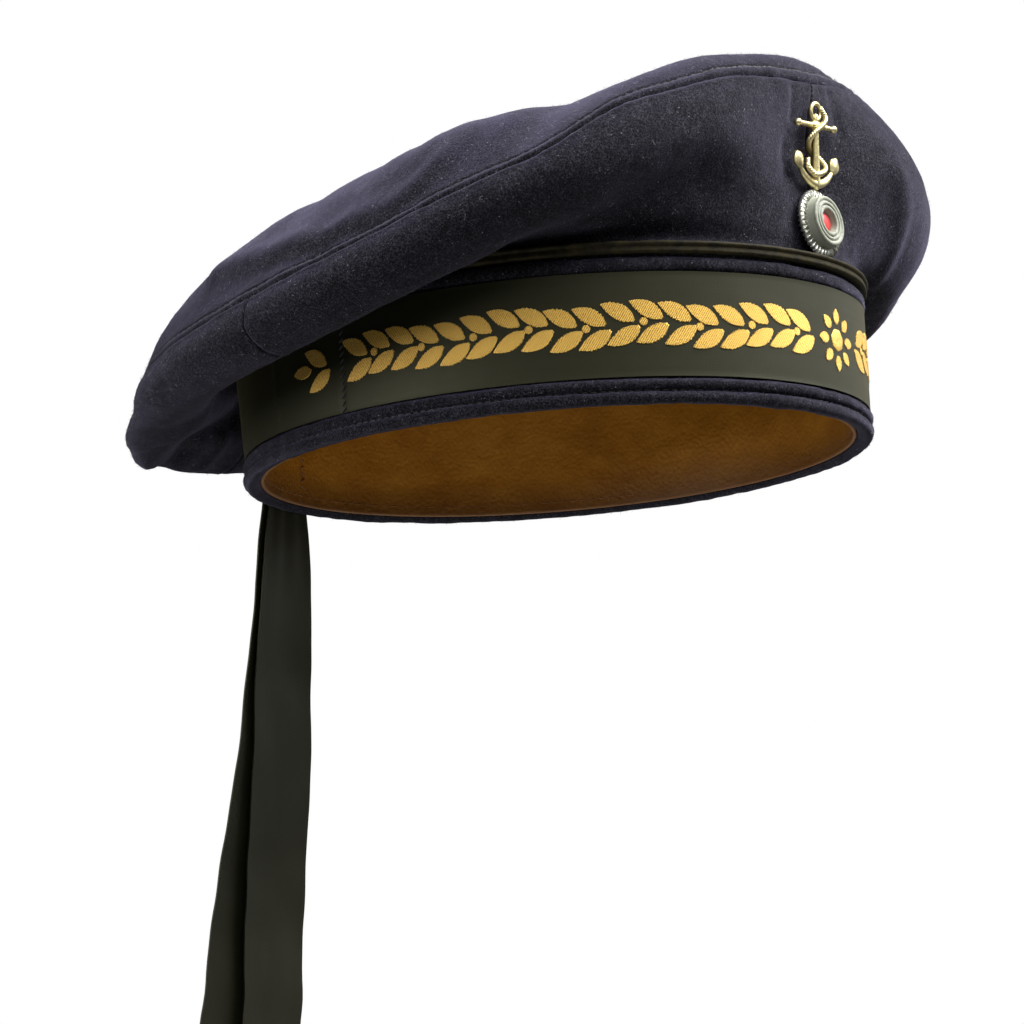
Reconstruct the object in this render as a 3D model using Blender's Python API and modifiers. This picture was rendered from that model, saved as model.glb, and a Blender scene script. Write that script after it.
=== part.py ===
"""Sailor cap: a soft wool crown on an upright head band, with a tally ribbon and its two tails.

Metres, +Z up. The origin is the centre of the head opening, on the plane of the band's bottom
edge. The front of the cap faces -Y and the wearer's left is +X. Dimensions below are in mm.
"""

from math import atan2, cos, pi, radians, sin

import bmesh
import bpy
import numpy as np
from mathutils import Matrix, Vector

MM = 0.001
GAP = 0.3

# Head band: an oval seen from above.
BAND_FRONT = 101.5      # centre to the wool's outer face, at front and back
BAND_SIDE = 85.3        # the same at the sides
BAND_TOP = 49.6
BAND_INNER = -3.4       # inner face, from the outer oval
WELT_OUT = 1.5          # how far the rolled welts stand out
WELT_SPLIT = 4.3        # height of the groove between the two bottom welts
RIBBON_LOW = 8.3
RIBBON_HIGH = 40.1
RIBBON_THICK = 0.6
PIPING_RADIUS = 1.6
PIPING_HEIGHT = 47.7
SWEAT_THICK = 1.2
SWEAT_HIGH = 36.0

# Crown: one row each 30 degrees round from the back, angles from the front, + to wearer's left.
# A section runs from the band out to the fold, round the bulge, up to the rim seam and over a
# shoulder to the middle of the top. r is from the centre, z above the band's bottom edge, rise
# is the height of the shoulder over the seam, and dome how far the top swells halfway in.
CROWN_SECTIONS = (
    # angle, seam r, seam z, bulge r, bulge z, fold r, fold z, rise, dome
    (-180, 127, 30, 131, 17, 115, 26, 20, 20),
    (-150, 129, 26, 133, 13, 110, 23, 20, 20),
    (-120, 128, 33, 131, 20, 112, 19, 21, 12),
    (-90, 120, 48, 127, 36, 110, 28, 25, 6),
    (-60, 121, 70, 118, 58, 107, 48, 18, 5),
    (-30, 107, 97, 107, 78, 101, 63, 10, 6),
    (0, 99, 106, 96, 86, 96, 62, 9, 5),
    (30, 102, 112, 120, 84, 106, 57, 0, 5),
    (60, 110, 104, 127, 68, 110, 44, 7, 6),
    (90, 118, 88, 128, 58, 111, 40, 12, 6),
    (120, 123, 66, 130, 44, 110, 36, 14, 7),
    (150, 126, 44, 130, 29, 112, 29, 17, 14),
)
SHOULDER_IN = 12
TOP_CENTRE = (0, 6, 80)
CLOTH = 2.0
LEVEL_BROW, LEVEL_FOLD, LEVEL_BULGE, LEVEL_SEAM, LEVEL_SHOULDER, LEVEL_CENTRE = 1, 2, 3, 4, 5, 7
RIGHT_SEAM = -103
PANEL_COLUMNS = 16
SEAM_HALF_GAP = 0.3

# Soft folds of the crown, each along a line between two places given as angle and level.
CROWN_FOLDS = (
    # from angle, level, to angle, level, half width, height
    (-22, 3.5, -62, 2.4, 9, -3.0),      # shallow hollow across the front right panel
    (-118, 4.6, -72, 4.5, 7, 2.0),      # long ridge along the near shoulder
    (-50, 4.7, -38, 5.4, 10, -2.5),     # dip behind the raised front
    (-12, 4.6, 8, 4.7, 9, 1.0),         # raised front
    (-112, 2.0, -150, 2.6, 7, 1.8),     # fold under the drooping back
    (-100, 2.4, -92, 3.4, 6, -1.6),     # pull beside the right seam
    (48, 2.6, 84, 2.2, 10, -2.5),       # hollow low on the left
    (118, 2.3, 152, 2.8, 8, 1.5),
)

# Ribbon tails: sections down the wearer's right one; the left one mirrors it and hangs inside.
TAIL_SECTIONS = (
    # z, middle x, half width, back y, camber
    (22, -1, 9, 0.0, 0.2),
    (4, -1, 10, 0.2, 0.4),
    (-12, -1, 12.5, 1.0, 0.8),
    (-40, -1, 14.5, 2.5, 1.0),
    (-80, -3, 16, 6.0, 0.8),
    (-130, -7, 16, 13.5, 0.6),
    (-190, -11, 16, 23.0, 0.4),
    (-250, -16, 16, 33.0, 0.2),
)
TAIL_NOTCH = 7
TAIL_INSIDE = 0.9         # the inner tail leans out this much of the outer one

# Front fittings, on the crown's front seam.
BADGE_HEIGHT = 86
COCKADE_HEIGHT = 61
COCKADE_RADIUS = 10.5
COCKADE_TEETH = 34


def clear_scene():
    for obj in list(bpy.data.objects):
        bpy.data.objects.remove(obj, do_unlink=True)


def material(name, colour, roughness, metallic=0.0):
    made = bpy.data.materials.new(name)
    made.use_nodes = True
    shader = made.node_tree.nodes["Principled BSDF"]
    shader.inputs["Base Color"].default_value = (*colour, 1)
    shader.inputs["Roughness"].default_value = roughness
    shader.inputs["Metallic"].default_value = metallic
    made.diffuse_color = (*colour, 1)
    return made


def collection(name):
    made = bpy.data.collections.new(name)
    bpy.context.scene.collection.children.link(made)
    return made


def mesh_object(name, points, faces, surface, home):
    """An object from points in millimetres."""
    mesh = bpy.data.meshes.new(name)
    mesh.from_pydata([[c * MM for c in p] for p in points], [], faces)
    mesh.materials.append(surface)
    obj = bpy.data.objects.new(name, mesh)
    home.objects.link(obj)
    return obj


def smooth(points, steps, closed=False):
    """Points along a Catmull-Rom curve through the given ones, so many a span."""
    points = np.asarray(points, float)
    if closed:
        padded = np.concatenate([points[-1:], points, points[:2]])
    else:
        first = 2 * points[:1] - points[1:2]
        last = 2 * points[-1:] - points[-2:-1]
        padded = np.concatenate([first, points, last])
    spans = len(padded) - 3
    return np.array([
        curve_at(padded, span + step / steps)
        for span in range(spans)
        for step in range(steps)
    ] + ([] if closed else [points[-1]]))


def curve_at(padded, where):
    span = min(int(where), len(padded) - 4)
    t = where - span
    a, b, c, d = padded[span:span + 4]
    return 0.5 * (2 * b + (c - a) * t + (2 * a - 5 * b + 4 * c - d) * t**2 + (3 * b - a - 3 * c + d) * t**3)


def direction(angle):
    return np.array([sin(radians(angle)), -cos(radians(angle)), 0.0])


def band_radius(angle, offset=0.0):
    front, side = BAND_FRONT + offset, BAND_SIDE + offset
    s, c = sin(radians(angle)), cos(radians(angle))
    return front * side / ((front * s)**2 + (side * c)**2)**0.5


def crown_section(angle):
    """The control points of the section at an angle, from the band's top to the middle."""
    rows = np.array(CROWN_SECTIONS, float)
    padded = np.concatenate([rows[-1:], rows, rows[:2]])
    row = curve_at(padded, ((angle + 180) % 360) / 30)
    seam_r, seam_z, bulge_r, bulge_z, fold_r, fold_z, rise, dome = row[1:]
    # Where the crown folds down it first clears the piping.
    droop = min(max((62 - fold_z) / 22, 0), 1)
    band = band_radius(angle)
    out = direction(angle)
    up = np.array([0, 0, 1.0])
    shoulder = out * (seam_r - SHOULDER_IN) + up * (seam_z + rise)
    centre = np.array(TOP_CENTRE, float)
    return np.array([
        out * (band - 3.4 + 2.0 * droop) + up * (BAND_TOP + 0.5),
        out * (band - 3.6 + 7.8 * droop) + up * (BAND_TOP + 2.6 - 1.8 * droop),
        out * fold_r + up * fold_z,
        out * bulge_r + up * bulge_z,
        out * seam_r + up * seam_z,
        shoulder,
        0.5 * (shoulder + centre) + up * dome,
        centre,
    ])


def plain_crown(angle, level):
    points = crown_section(angle)
    padded = np.concatenate([2 * points[:1] - points[1:2], points, 2 * points[-1:] - points[-2:-1]])
    return curve_at(padded, level)


def fold_height(angle, level):
    """The sum of the folds at a place, in mm. A level counts as 25 mm and a degree as 2."""
    here = np.array([2.0 * ((angle + 180) % 360 - 180), 25.0 * level])
    total = 0.0
    for angle0, level0, angle1, level1, width, height in CROWN_FOLDS:
        start = np.array([2.0 * angle0, 25.0 * level0])
        along = np.array([2.0 * angle1, 25.0 * level1]) - start
        t = min(max(np.dot(here - start, along) / np.dot(along, along), 0), 1)
        off = np.linalg.norm(here - start - t * along)
        total += height * np.exp(-(off / width)**2)
    return total


def crown_normal(angle, level):
    level = min(max(level, 0.02), LEVEL_CENTRE - 0.1)
    across = plain_crown(angle + 0.5, level) - plain_crown(angle - 0.5, level)
    upward = plain_crown(angle, level + 0.02) - plain_crown(angle, level - 0.02)
    normal = np.cross(across, upward)
    return normal / np.linalg.norm(normal)


def crown_point(angle, level):
    return plain_crown(angle, level) + crown_normal(angle, level) * fold_height(angle, level)


def cloth_shell(name, points, faces, surface, home, thick):
    """An open surface given its thickness inwards."""
    obj = mesh_object(name, points, faces, surface, home)
    solid = obj.modifiers.new("Thickness", "SOLIDIFY")
    solid.thickness = thick * MM
    solid.offset = -1
    return obj


def grid_faces(rows, columns, closed=False):
    last = columns if closed else columns - 1
    return [
        (i * columns + j, i * columns + (j + 1) % columns,
         (i + 1) * columns + (j + 1) % columns, (i + 1) * columns + j)
        for i in range(rows - 1)
        for j in range(last)
    ]


def crown_panel(name, start, end, surface, home):
    half = SEAM_HALF_GAP / 115 * 180 / pi
    edge = 0.35
    inner = np.linspace(start + edge * 4, end - edge * 4, PANEL_COLUMNS - 1)
    angles = [start + half, *inner, end - half]
    levels = [0, 0.5, 1, 1.4, 1.75, 2, 2.3, 2.6, 2.85, 3.1, 3.4, 3.7, 3.93, LEVEL_SEAM - 0.016]
    points = [crown_point(angle, level) for level in levels for angle in angles]
    return cloth_shell(name, points, grid_faces(len(levels), len(angles)), surface, home, CLOTH)


def crown_top(surface, home):
    columns = 4 * PANEL_COLUMNS
    angles = [360 * k / columns for k in range(columns)]
    levels = [LEVEL_SEAM + 0.016, 4.07, 4.3, 4.6, 4.9, 5.3, 5.8, 6.4]
    points = [crown_point(angle, level) for level in levels for angle in angles]
    faces = grid_faces(len(levels), columns, closed=True)
    points.append(crown_point(0, LEVEL_CENTRE))
    ring = (len(levels) - 1) * columns
    faces += [(ring + k, ring + (k + 1) % columns, len(points) - 1) for k in range(columns)]
    return cloth_shell("crown_top", points, faces, surface, home, CLOTH)


def oval_path(name, offset, height):
    """A cyclic Bezier oval round the band, in the direction that puts a section's offsets outward."""
    bpy.ops.curve.primitive_bezier_circle_add(radius=1)
    path = bpy.context.object
    path.name = path.data.name = name
    wide, deep = (BAND_SIDE + offset) * MM, (BAND_FRONT + offset) * MM
    for point in path.data.splines[0].bezier_points:
        for corner in ("co", "handle_left", "handle_right"):
            x, y, _ = getattr(point, corner)
            setattr(point, corner, (-x * wide, y * deep, height * MM))
    path.data.resolution_u = 16
    return path


def section_curve(name, profile, helpers):
    """A closed outline, given as offsets outward and heights, for a path to carry."""
    curve = bpy.data.curves.new(name, "CURVE")
    curve.dimensions = "2D"
    curve.fill_mode = "NONE"
    spline = curve.splines.new("POLY")
    spline.points.add(len(profile) - 1)
    for point, (out, high) in zip(spline.points, profile[::-1]):
        point.co = (out * MM, high * MM, 0, 1)
    spline.use_cyclic_u = True
    obj = bpy.data.objects.new(name, curve)
    helpers.objects.link(obj)
    obj.hide_render = True
    obj.display_type = "WIRE"
    return obj


def band_ring(name, profile, surface, home, helpers):
    """A piece that runs round the head with one section."""
    path = oval_path(name, 0, 0)
    path.data.dimensions = "3D"
    path.data.twist_mode = "Z_UP"
    path.data.bevel_mode = "OBJECT"
    path.data.bevel_object = section_curve(name + "_section", profile, helpers)
    path.data.materials.append(surface)
    move_to(path, home)
    return path


def move_to(obj, home):
    for old in list(obj.users_collection):
        old.objects.unlink(obj)
    home.objects.link(obj)


def head_band(surface, home, helpers):
    low, high, split = RIBBON_LOW, RIBBON_HIGH, WELT_SPLIT
    welt, inner = WELT_OUT, BAND_INNER
    profile = [
        (inner, 1.2), (-1.8, 0), (0.4, 0.4), (welt, 2.1), (0.5, split - 0.4), (0.5, split + 0.4),
        (welt, 6.1), (0.7, low - GAP - 0.3), (0, low - GAP), (0, high + GAP), (1.2, 41.6),
        (1.3, 44.2), (0, 45.6), (-0.9, 46.0), (-0.9, BAND_TOP), (inner, BAND_TOP),
    ]
    return band_ring("head_band", profile, surface, home, helpers)


def piping(surface, home):
    path = oval_path("crown_piping", PIPING_RADIUS - 0.6, PIPING_HEIGHT)
    path.data.dimensions = "3D"
    path.data.bevel_depth = PIPING_RADIUS * MM
    path.data.bevel_resolution = 1
    path.data.materials.append(surface)
    move_to(path, home)
    return path


def tally_ribbon(surface, home, helpers):
    inner, outer = GAP, GAP + RIBBON_THICK
    profile = [(inner, RIBBON_LOW), (outer, RIBBON_LOW), (outer, RIBBON_HIGH), (inner, RIBBON_HIGH)]
    return band_ring("tally_ribbon", profile, surface, home, helpers)


def sweatband(surface, home, helpers):
    outer = BAND_INNER - GAP
    inner = outer - SWEAT_THICK
    profile = [(inner, 2.0), (outer, 1.4), (outer, SWEAT_HIGH), (inner, SWEAT_HIGH)]
    return band_ring("sweatband", profile, surface, home, helpers)


def tail(name, side, layer, lean_share, surface, home):
    """One hanging end of the ribbon, its tip cut to a shallow swallow tail."""
    rows = smooth(TAIL_SECTIONS, 2)
    across = (-1, -0.5, 0, 0.5, 1)
    back = BAND_FRONT + WELT_OUT + GAP + layer
    points = []
    for k, (z, middle, half, lean, camber) in enumerate(rows):
        for place in across:
            notch = TAIL_NOTCH * (1 - abs(place)) if k == len(rows) - 1 else 0
            bow = camber * (1 - place**2)
            points.append((side * middle + place * half, back + lean_share * lean + bow, z + notch))
    faces = [face[::-1] for face in grid_faces(len(rows), len(across))]
    return cloth_shell(name, points, faces, surface, home, RIBBON_THICK)


def tally_knot(surface, home):
    """A flat pillow of folded ribbon over the place where the tails start."""
    bpy.ops.mesh.primitive_cube_add(size=1, location=(0, (BAND_FRONT + 6.9) * MM, 22 * MM))
    knot = bpy.context.object
    knot.name = knot.data.name = "tally_knot"
    knot.data.transform(Matrix.Diagonal((30 * MM, 4.4 * MM, 26 * MM, 1)))
    rounding = knot.modifiers.new("Rounding", "SUBSURF")
    rounding.levels = rounding.render_levels = 2
    knot.data.materials.append(surface)
    move_to(knot, home)
    return knot


def front_seat(height, lift):
    """Where a fitting sits on the front seam, as a matrix in metres: Z outward, Y up the cloth."""
    levels = np.linspace(LEVEL_BROW, LEVEL_SEAM, 60)
    level = levels[np.argmin([abs(crown_point(0, k)[2] - height) for k in levels])]
    spread = 6
    across = crown_point(spread, level) - crown_point(-spread, level)
    upward = crown_point(0, level + 0.2) - crown_point(0, level - 0.2)
    out = Vector(np.cross(across, upward)).normalized()
    right = Vector(across).normalized()
    up = out.cross(right).normalized()
    middle = Vector(crown_point(0, level)) + out * lift
    turn = Matrix((right, up, out)).transposed().to_4x4()
    return Matrix.Translation(middle * MM) @ turn


def turned(name, profile, steps, surface, home, seat):
    """A ring turned about the seat's Z from a closed outline of radii and heights."""
    points = [(radius, 0, high) for radius, high in profile]
    count = len(points)
    edges = [(k, (k + 1) % count) for k in range(count)]
    mesh = bpy.data.meshes.new(name)
    mesh.from_pydata([[c * MM for c in p] for p in points], edges, [])
    mesh.materials.append(surface)
    obj = bpy.data.objects.new(name, mesh)
    home.objects.link(obj)
    screw = obj.modifiers.new("Turn", "SCREW")
    screw.steps = screw.render_steps = steps
    screw.use_merge_vertices = True
    screw.merge_threshold = 0.0001 * MM
    obj.matrix_world = seat
    return obj


def cockade(silver, grey, red, home):
    seat = front_seat(COCKADE_HEIGHT, 1.8)
    made = bmesh.new()
    count = 2 * COCKADE_TEETH
    rings = []
    for high, out in ((0, 0.6), (0.9, 0)):
        ring = []
        for k in range(count):
            radius = COCKADE_RADIUS - out - (0.7 if k % 2 else 0)
            turn = 2 * pi * k / count
            ring.append(made.verts.new((radius * cos(turn) * MM, radius * sin(turn) * MM, high * MM)))
        rings.append(ring)
    for k in range(count):
        after = (k + 1) % count
        made.faces.new((rings[0][k], rings[0][after], rings[1][after], rings[1][k]))
    made.faces.new(rings[0][::-1])
    made.faces.new(rings[1])
    mesh = bpy.data.meshes.new("cockade_rim")
    made.to_mesh(mesh)
    made.free()
    mesh.materials.append(silver)
    rim = bpy.data.objects.new("cockade_rim", mesh)
    home.objects.link(rim)
    rim.matrix_world = seat
    ring_outline = [
        (3.4, 1.2), (8.3, 1.2), (7.9, 4.4), (7.3, 5.1), (6.4, 5.1),
        (6.1, 4.8), (5.1, 4.8), (4.8, 5.1), (4.0, 5.1), (3.4, 4.6),
    ]
    turned("cockade_ring", ring_outline[::-1], 28, grey, home, seat)
    bpy.ops.mesh.primitive_cone_add(vertices=24, radius1=3.1 * MM, radius2=2.7 * MM, depth=2.4 * MM)
    centre = bpy.context.object
    centre.name = centre.data.name = "cockade_centre"
    centre.matrix_world = seat @ Matrix.Translation((0, 0, 2.5 * MM))
    centre.data.materials.append(red)
    move_to(centre, home)


def bar(name, radius, length, turn, place, helpers):
    bpy.ops.mesh.primitive_cylinder_add(vertices=10, radius=radius * MM, depth=length * MM)
    return helper(name, Matrix.Translation(Vector(place) * MM) @ turn, helpers)


def helper(name, matrix, helpers):
    obj = bpy.context.object
    obj.name = obj.data.name = name
    obj.matrix_world = matrix
    obj.hide_render = True
    obj.display_type = "WIRE"
    move_to(obj, helpers)
    return obj


def anchor_badge(surface, home, helpers):
    """A small anchor: shank, stock, ring, and two curved arms with flukes."""
    seat = front_seat(BADGE_HEIGHT, 3.3)
    arm_radius, arm_middle, arm_end = 10, -1.6, 62
    upright = Matrix.Rotation(radians(90), 4, "X")
    level = Matrix.Rotation(radians(90), 4, "Y")
    parts = [bar("badge_stock", 1.0, 19, level, (0, 6.4, 0), helpers)]
    bpy.ops.mesh.primitive_torus_add(
        major_radius=2.5 * MM, minor_radius=0.75 * MM, major_segments=16, minor_segments=6)
    parts.append(helper("badge_ring", Matrix.Translation((0, 10.8 * MM, 0)), helpers))
    parts.append(anchor_arms(arm_radius, arm_middle, arm_end, helpers))
    for side in (-1, 1):
        bpy.ops.mesh.primitive_cone_add(vertices=4, radius1=3.0 * MM, radius2=0.1 * MM, depth=5.6 * MM)
        turn = Matrix.Rotation(side * radians(-28), 4, "Z") @ Matrix.Rotation(radians(-90), 4, "X")
        x, y = side * arm_radius * sin(radians(arm_end)), arm_middle - arm_radius * cos(radians(arm_end))
        place = Matrix.Translation((x * MM, (y + 0.9) * MM, 0))
        flat = Matrix.Diagonal((1, 1, 0.45, 1))
        name = "badge_fluke_" + ("left" if side > 0 else "right")
        parts.append(helper(name, place @ flat @ turn, helpers))
    bpy.ops.mesh.primitive_cylinder_add(vertices=10, radius=1.25 * MM, depth=20 * MM)
    badge = bpy.context.object
    badge.name = badge.data.name = "badge"
    badge.data.transform(Matrix.Translation((0, -1 * MM, 0)) @ upright)
    badge.data.materials.append(surface)
    move_to(badge, home)
    for part in parts:
        part.matrix_world = seat @ part.matrix_world
        join = badge.modifiers.new(part.name, "BOOLEAN")
        join.operation = "UNION"
        join.solver = "EXACT"
        join.object = part
    badge.matrix_world = seat
    return badge


def anchor_arms(radius, middle, end, helpers):
    """The arc of the arms, thicker in the middle than at the tips."""
    curve = bpy.data.curves.new("badge_arms_line", "CURVE")
    curve.dimensions = "3D"
    curve.bevel_depth = 1.3 * MM
    curve.bevel_resolution = 1
    curve.use_fill_caps = True
    spline = curve.splines.new("POLY")
    turns = np.linspace(-end, end, 13)
    spline.points.add(len(turns) - 1)
    for point, turn in zip(spline.points, turns):
        x, y = radius * sin(radians(turn)), middle - radius * cos(radians(turn))
        point.co = (x * MM, y * MM, 0, 1)
        point.radius = 1.05 - 0.5 * (abs(turn) / end)**2
    line = bpy.data.objects.new("badge_arms_line", curve)
    helpers.objects.link(line)
    line.hide_render = True
    line.display_type = "WIRE"
    bpy.context.view_layer.update()
    mesh = bpy.data.meshes.new_from_object(line.evaluated_get(bpy.context.evaluated_depsgraph_get()))
    bpy.data.objects.remove(line, do_unlink=True)
    arms = bpy.data.objects.new("badge_arms", mesh)
    helpers.objects.link(arms)
    weld = bmesh.new()
    weld.from_mesh(mesh)
    bmesh.ops.remove_doubles(weld, verts=weld.verts, dist=0.001 * MM)
    bmesh.ops.recalc_face_normals(weld, faces=weld.faces)
    weld.to_mesh(mesh)
    weld.free()
    arms.hide_render = True
    arms.display_type = "WIRE"
    return arms


clear_scene()
cap = collection("sailor_cap")
cutters = collection("sailor_cap_helpers")

wool = material("navy_wool", (0.012, 0.013, 0.022), 0.95)
ribbon = material("black_ribbon", (0.012, 0.013, 0.010), 0.6)
edging = material("black_piping", (0.02, 0.02, 0.016), 0.5)
leather = material("tan_leather", (0.33, 0.14, 0.05), 0.6)
gilt = material("pale_gilt", (0.72, 0.64, 0.46), 0.35, 1.0)
silver = material("silver_metal", (0.75, 0.77, 0.76), 0.35, 1.0)
grey = material("grey_metal", (0.35, 0.38, 0.38), 0.45, 1.0)
red = material("red_enamel", (0.45, 0.02, 0.03), 0.4)

crown_top(wool, cap)
crown_panel("crown_front_right", RIGHT_SEAM, 0, wool, cap)
crown_panel("crown_back_right", -180, RIGHT_SEAM, wool, cap)
crown_panel("crown_front_left", 0, -RIGHT_SEAM, wool, cap)
crown_panel("crown_back_left", -RIGHT_SEAM, 180, wool, cap)
head_band(wool, cap, cutters)
piping(edging, cap)
tally_ribbon(ribbon, cap, cutters)
sweatband(leather, cap, cutters)
tail("tally_tail_left", -1, RIBBON_THICK, TAIL_INSIDE, ribbon, cap)
tail("tally_tail_right", 1, 2 * RIBBON_THICK + GAP + 0.2, 1, ribbon, cap)
tally_knot(ribbon, cap)
anchor_badge(gilt, cap, cutters)
cockade(silver, grey, red, cap)
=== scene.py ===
from math import cos, pi, radians, sin

import bmesh
import bpy
import numpy as np
from mathutils import Matrix, Vector, noise


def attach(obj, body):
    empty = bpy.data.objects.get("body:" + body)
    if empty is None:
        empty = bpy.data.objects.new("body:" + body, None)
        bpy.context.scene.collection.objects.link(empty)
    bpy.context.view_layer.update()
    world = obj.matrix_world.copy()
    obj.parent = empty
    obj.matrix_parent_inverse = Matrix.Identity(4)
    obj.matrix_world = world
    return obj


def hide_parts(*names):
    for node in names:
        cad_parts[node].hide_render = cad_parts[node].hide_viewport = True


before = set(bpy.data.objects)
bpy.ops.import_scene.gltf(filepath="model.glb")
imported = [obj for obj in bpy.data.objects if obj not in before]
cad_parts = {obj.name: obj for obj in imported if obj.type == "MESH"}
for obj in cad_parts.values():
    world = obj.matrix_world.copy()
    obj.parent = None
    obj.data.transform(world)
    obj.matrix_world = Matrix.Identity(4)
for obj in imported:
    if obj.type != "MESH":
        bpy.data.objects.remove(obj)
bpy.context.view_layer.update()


# ---- Camera -------------------------------------------------------------------------------------
# A long lens on the wearer's right, a little in front and below, looking up at the cap as it is
# held at head height. Distances in metres, angles from the front and above the horizon.
CAMERA_TURN, CAMERA_RISE, CAMERA_TILT = radians(-57.8), radians(-10.6), radians(-2.9)
CAMERA_DISTANCE = 1.6
CAMERA_LENS, CAMERA_SENSOR = 179.4, 36
CAMERA_SLIDE = (0.0139, 0.0142)     # the cap's origin sits this far right of the middle and above it

toward_camera = Vector((
    sin(CAMERA_TURN) * cos(CAMERA_RISE), -cos(CAMERA_TURN) * cos(CAMERA_RISE), sin(CAMERA_RISE)))
level_right = Vector((cos(CAMERA_TURN), sin(CAMERA_TURN), 0))
level_up = toward_camera.cross(level_right)
camera_right = cos(CAMERA_TILT) * level_right + sin(CAMERA_TILT) * level_up
camera_up = -sin(CAMERA_TILT) * level_right + cos(CAMERA_TILT) * level_up
camera = bpy.data.objects.new("camera", bpy.data.cameras.new("camera"))
camera.data.lens, camera.data.sensor_width = CAMERA_LENS, CAMERA_SENSOR
camera.data.clip_start, camera.data.clip_end = 0.05, 50
camera.matrix_world = Matrix((camera_right, camera_up, toward_camera)).transposed().to_4x4()
camera.location = (toward_camera * CAMERA_DISTANCE
                   - camera_right * CAMERA_SLIDE[0] - camera_up * CAMERA_SLIDE[1])
bpy.context.scene.collection.objects.link(camera)
bpy.context.scene.camera = camera


# ---- Head band ----------------------------------------------------------------------------------
# An upright band of navy melton wool that goes round the head. Its bottom edge is turned into two
# soft rolled welts with a stitched groove between them, and a third roll stands over the ribbon.
MM = 0.001
BAND_FRONT, BAND_SIDE = 101.5, 85.3     # from the centre to the wool's face, in mm as all below
BAND_TOP = 49.6
BAND_INNER = -3.4
WELT_GROOVE = 4.1
RIBBON_LOW, RIBBON_HIGH = 8.3, 40.1
RIBBON_FACE = 0.9                       # how far the ribbon's face stands off the wool
BAND_STITCH = 2.7                       # spacing of the stitches in the groove
LOW_WELT = (-0.1, 2.0, 1.8, 1.9)        # each roll: middle out, middle high, radius out, radius high
HIGH_WELT = (-0.1, 6.05, 1.75, 1.75)
UPPER_ROLL = (0.05, 42.6, 1.3, 2.1)


def linear(colour):
    """An sRGB hex colour as linear red, green, blue and alpha."""
    parts = [int(colour[k:k + 2], 16) / 255 for k in (1, 3, 5)]
    return (*[c / 12.92 if c < 0.04045 else ((c + 0.055) / 1.055)**2.4 for c in parts], 1)


def set_inputs(node, inputs):
    """Each named input of a node takes a number, a colour or another node's output."""
    for name, value in inputs.items():
        if isinstance(value, bpy.types.NodeSocket):
            node.id_data.links.new(value, node.inputs[name])
        else:
            node.inputs[name].default_value = value


def add_node(shader, kind, inputs, **settings):
    """A node beside the shader, with its settings and inputs."""
    made = shader.id_data.nodes.new("ShaderNode" + kind)
    for name, value in settings.items():
        setattr(made, name, value)
    set_inputs(made, inputs)
    return made


def new_finish(name, constants):
    """A material and its shader, with the constants set on the shader's own sockets."""
    made = bpy.data.materials.new(name)
    made.use_nodes = True
    shader = made.node_tree.nodes["Principled BSDF"]
    set_inputs(shader, constants)
    return made, shader


def points_from(*coordinates):
    """Coordinates of like or single values, as one array of points."""
    return np.stack(np.broadcast_arrays(*coordinates), -1)


def unit(vectors):
    """The vectors brought to a length of one."""
    return vectors / np.linalg.norm(vectors, axis=-1)[..., None]


def grid_faces(rows, columns, joined_rows=False, joined_columns=False):
    """The quads of a grid of points, closed on itself either way if asked."""
    i, j = np.meshgrid(
        np.arange(rows if joined_rows else rows - 1),
        np.arange(columns if joined_columns else columns - 1), indexing="ij")
    i, j = i.ravel(), j.ravel()
    after_i, after_j = (i + 1) % rows, (j + 1) % columns
    return np.stack(
        [i * columns + j, i * columns + after_j, after_i * columns + after_j, after_i * columns + j], 1)


def turned_outward(points, faces):
    """The faces of a closed solid, turned round if they look inward."""
    a, b, c, d = (points[faces[:, k]] for k in (0, 1, 2, -1))
    volume = np.einsum("ij,ij->i", a, np.cross(b, c)) + np.einsum("ij,ij->i", a, np.cross(c, d))
    return faces[:, ::-1] if volume.sum() < 0 else faces


def dressed_piece(name, solids, finish, nodes=(), slot=None, sharp=50):
    """One piece from solids given as (points in mm, quads, uv or None), standing for CAD nodes."""
    start, all_points, all_faces, all_uv = 0, [], [], []
    for points, faces, uv in solids:
        points = points.reshape(-1, 3)
        all_points.append(points)
        all_faces.append(turned_outward(points, faces) + start)
        all_uv.append(np.zeros((len(points), 2)) if uv is None else uv.reshape(-1, 2))
        start += len(points)
    mesh = bpy.data.meshes.new(name)
    mesh.from_pydata((np.concatenate(all_points) * MM).tolist(), [], np.concatenate(all_faces).tolist())
    layer = mesh.uv_layers.new(name="UVMap")
    index = np.empty(len(mesh.loops), np.int32)
    mesh.loops.foreach_get("vertex_index", index)
    layer.data.foreach_set("uv", np.concatenate(all_uv)[index].ravel().astype(np.float32))
    weld = bmesh.new()
    weld.from_mesh(mesh)
    bmesh.ops.remove_doubles(weld, verts=weld.verts, dist=1e-8)
    weld.to_mesh(mesh)
    weld.free()
    mesh.shade_smooth()
    mesh.set_sharp_from_angle(angle=radians(sharp))
    mesh.materials.append(finish)
    piece = bpy.data.objects.new(name, mesh)
    bpy.context.scene.collection.objects.link(piece)
    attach(piece, "root")
    if nodes:
        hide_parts(*nodes)
    return piece


def bumps(points, size, seed=0):
    """Smooth random heights from -1 to 1 over points in mm, with lumps of about that size."""
    shift = Vector((seed * 7.3, seed * 3.1, seed * 5.7))
    flat = (points.reshape(-1, 3) / size).tolist()
    return np.array([noise.noise(Vector(p) + shift) for p in flat]).reshape(points.shape[:-1])


def oval_point(turn, offset, height):
    """Points round the head: turn in degrees from the front, offset out from the band's oval."""
    turn, offset, height = np.broadcast_arrays(np.radians(turn), offset, height)
    return np.stack([
        (BAND_SIDE + offset) * np.sin(turn), -(BAND_FRONT + offset) * np.cos(turn), height], -1)


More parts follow.
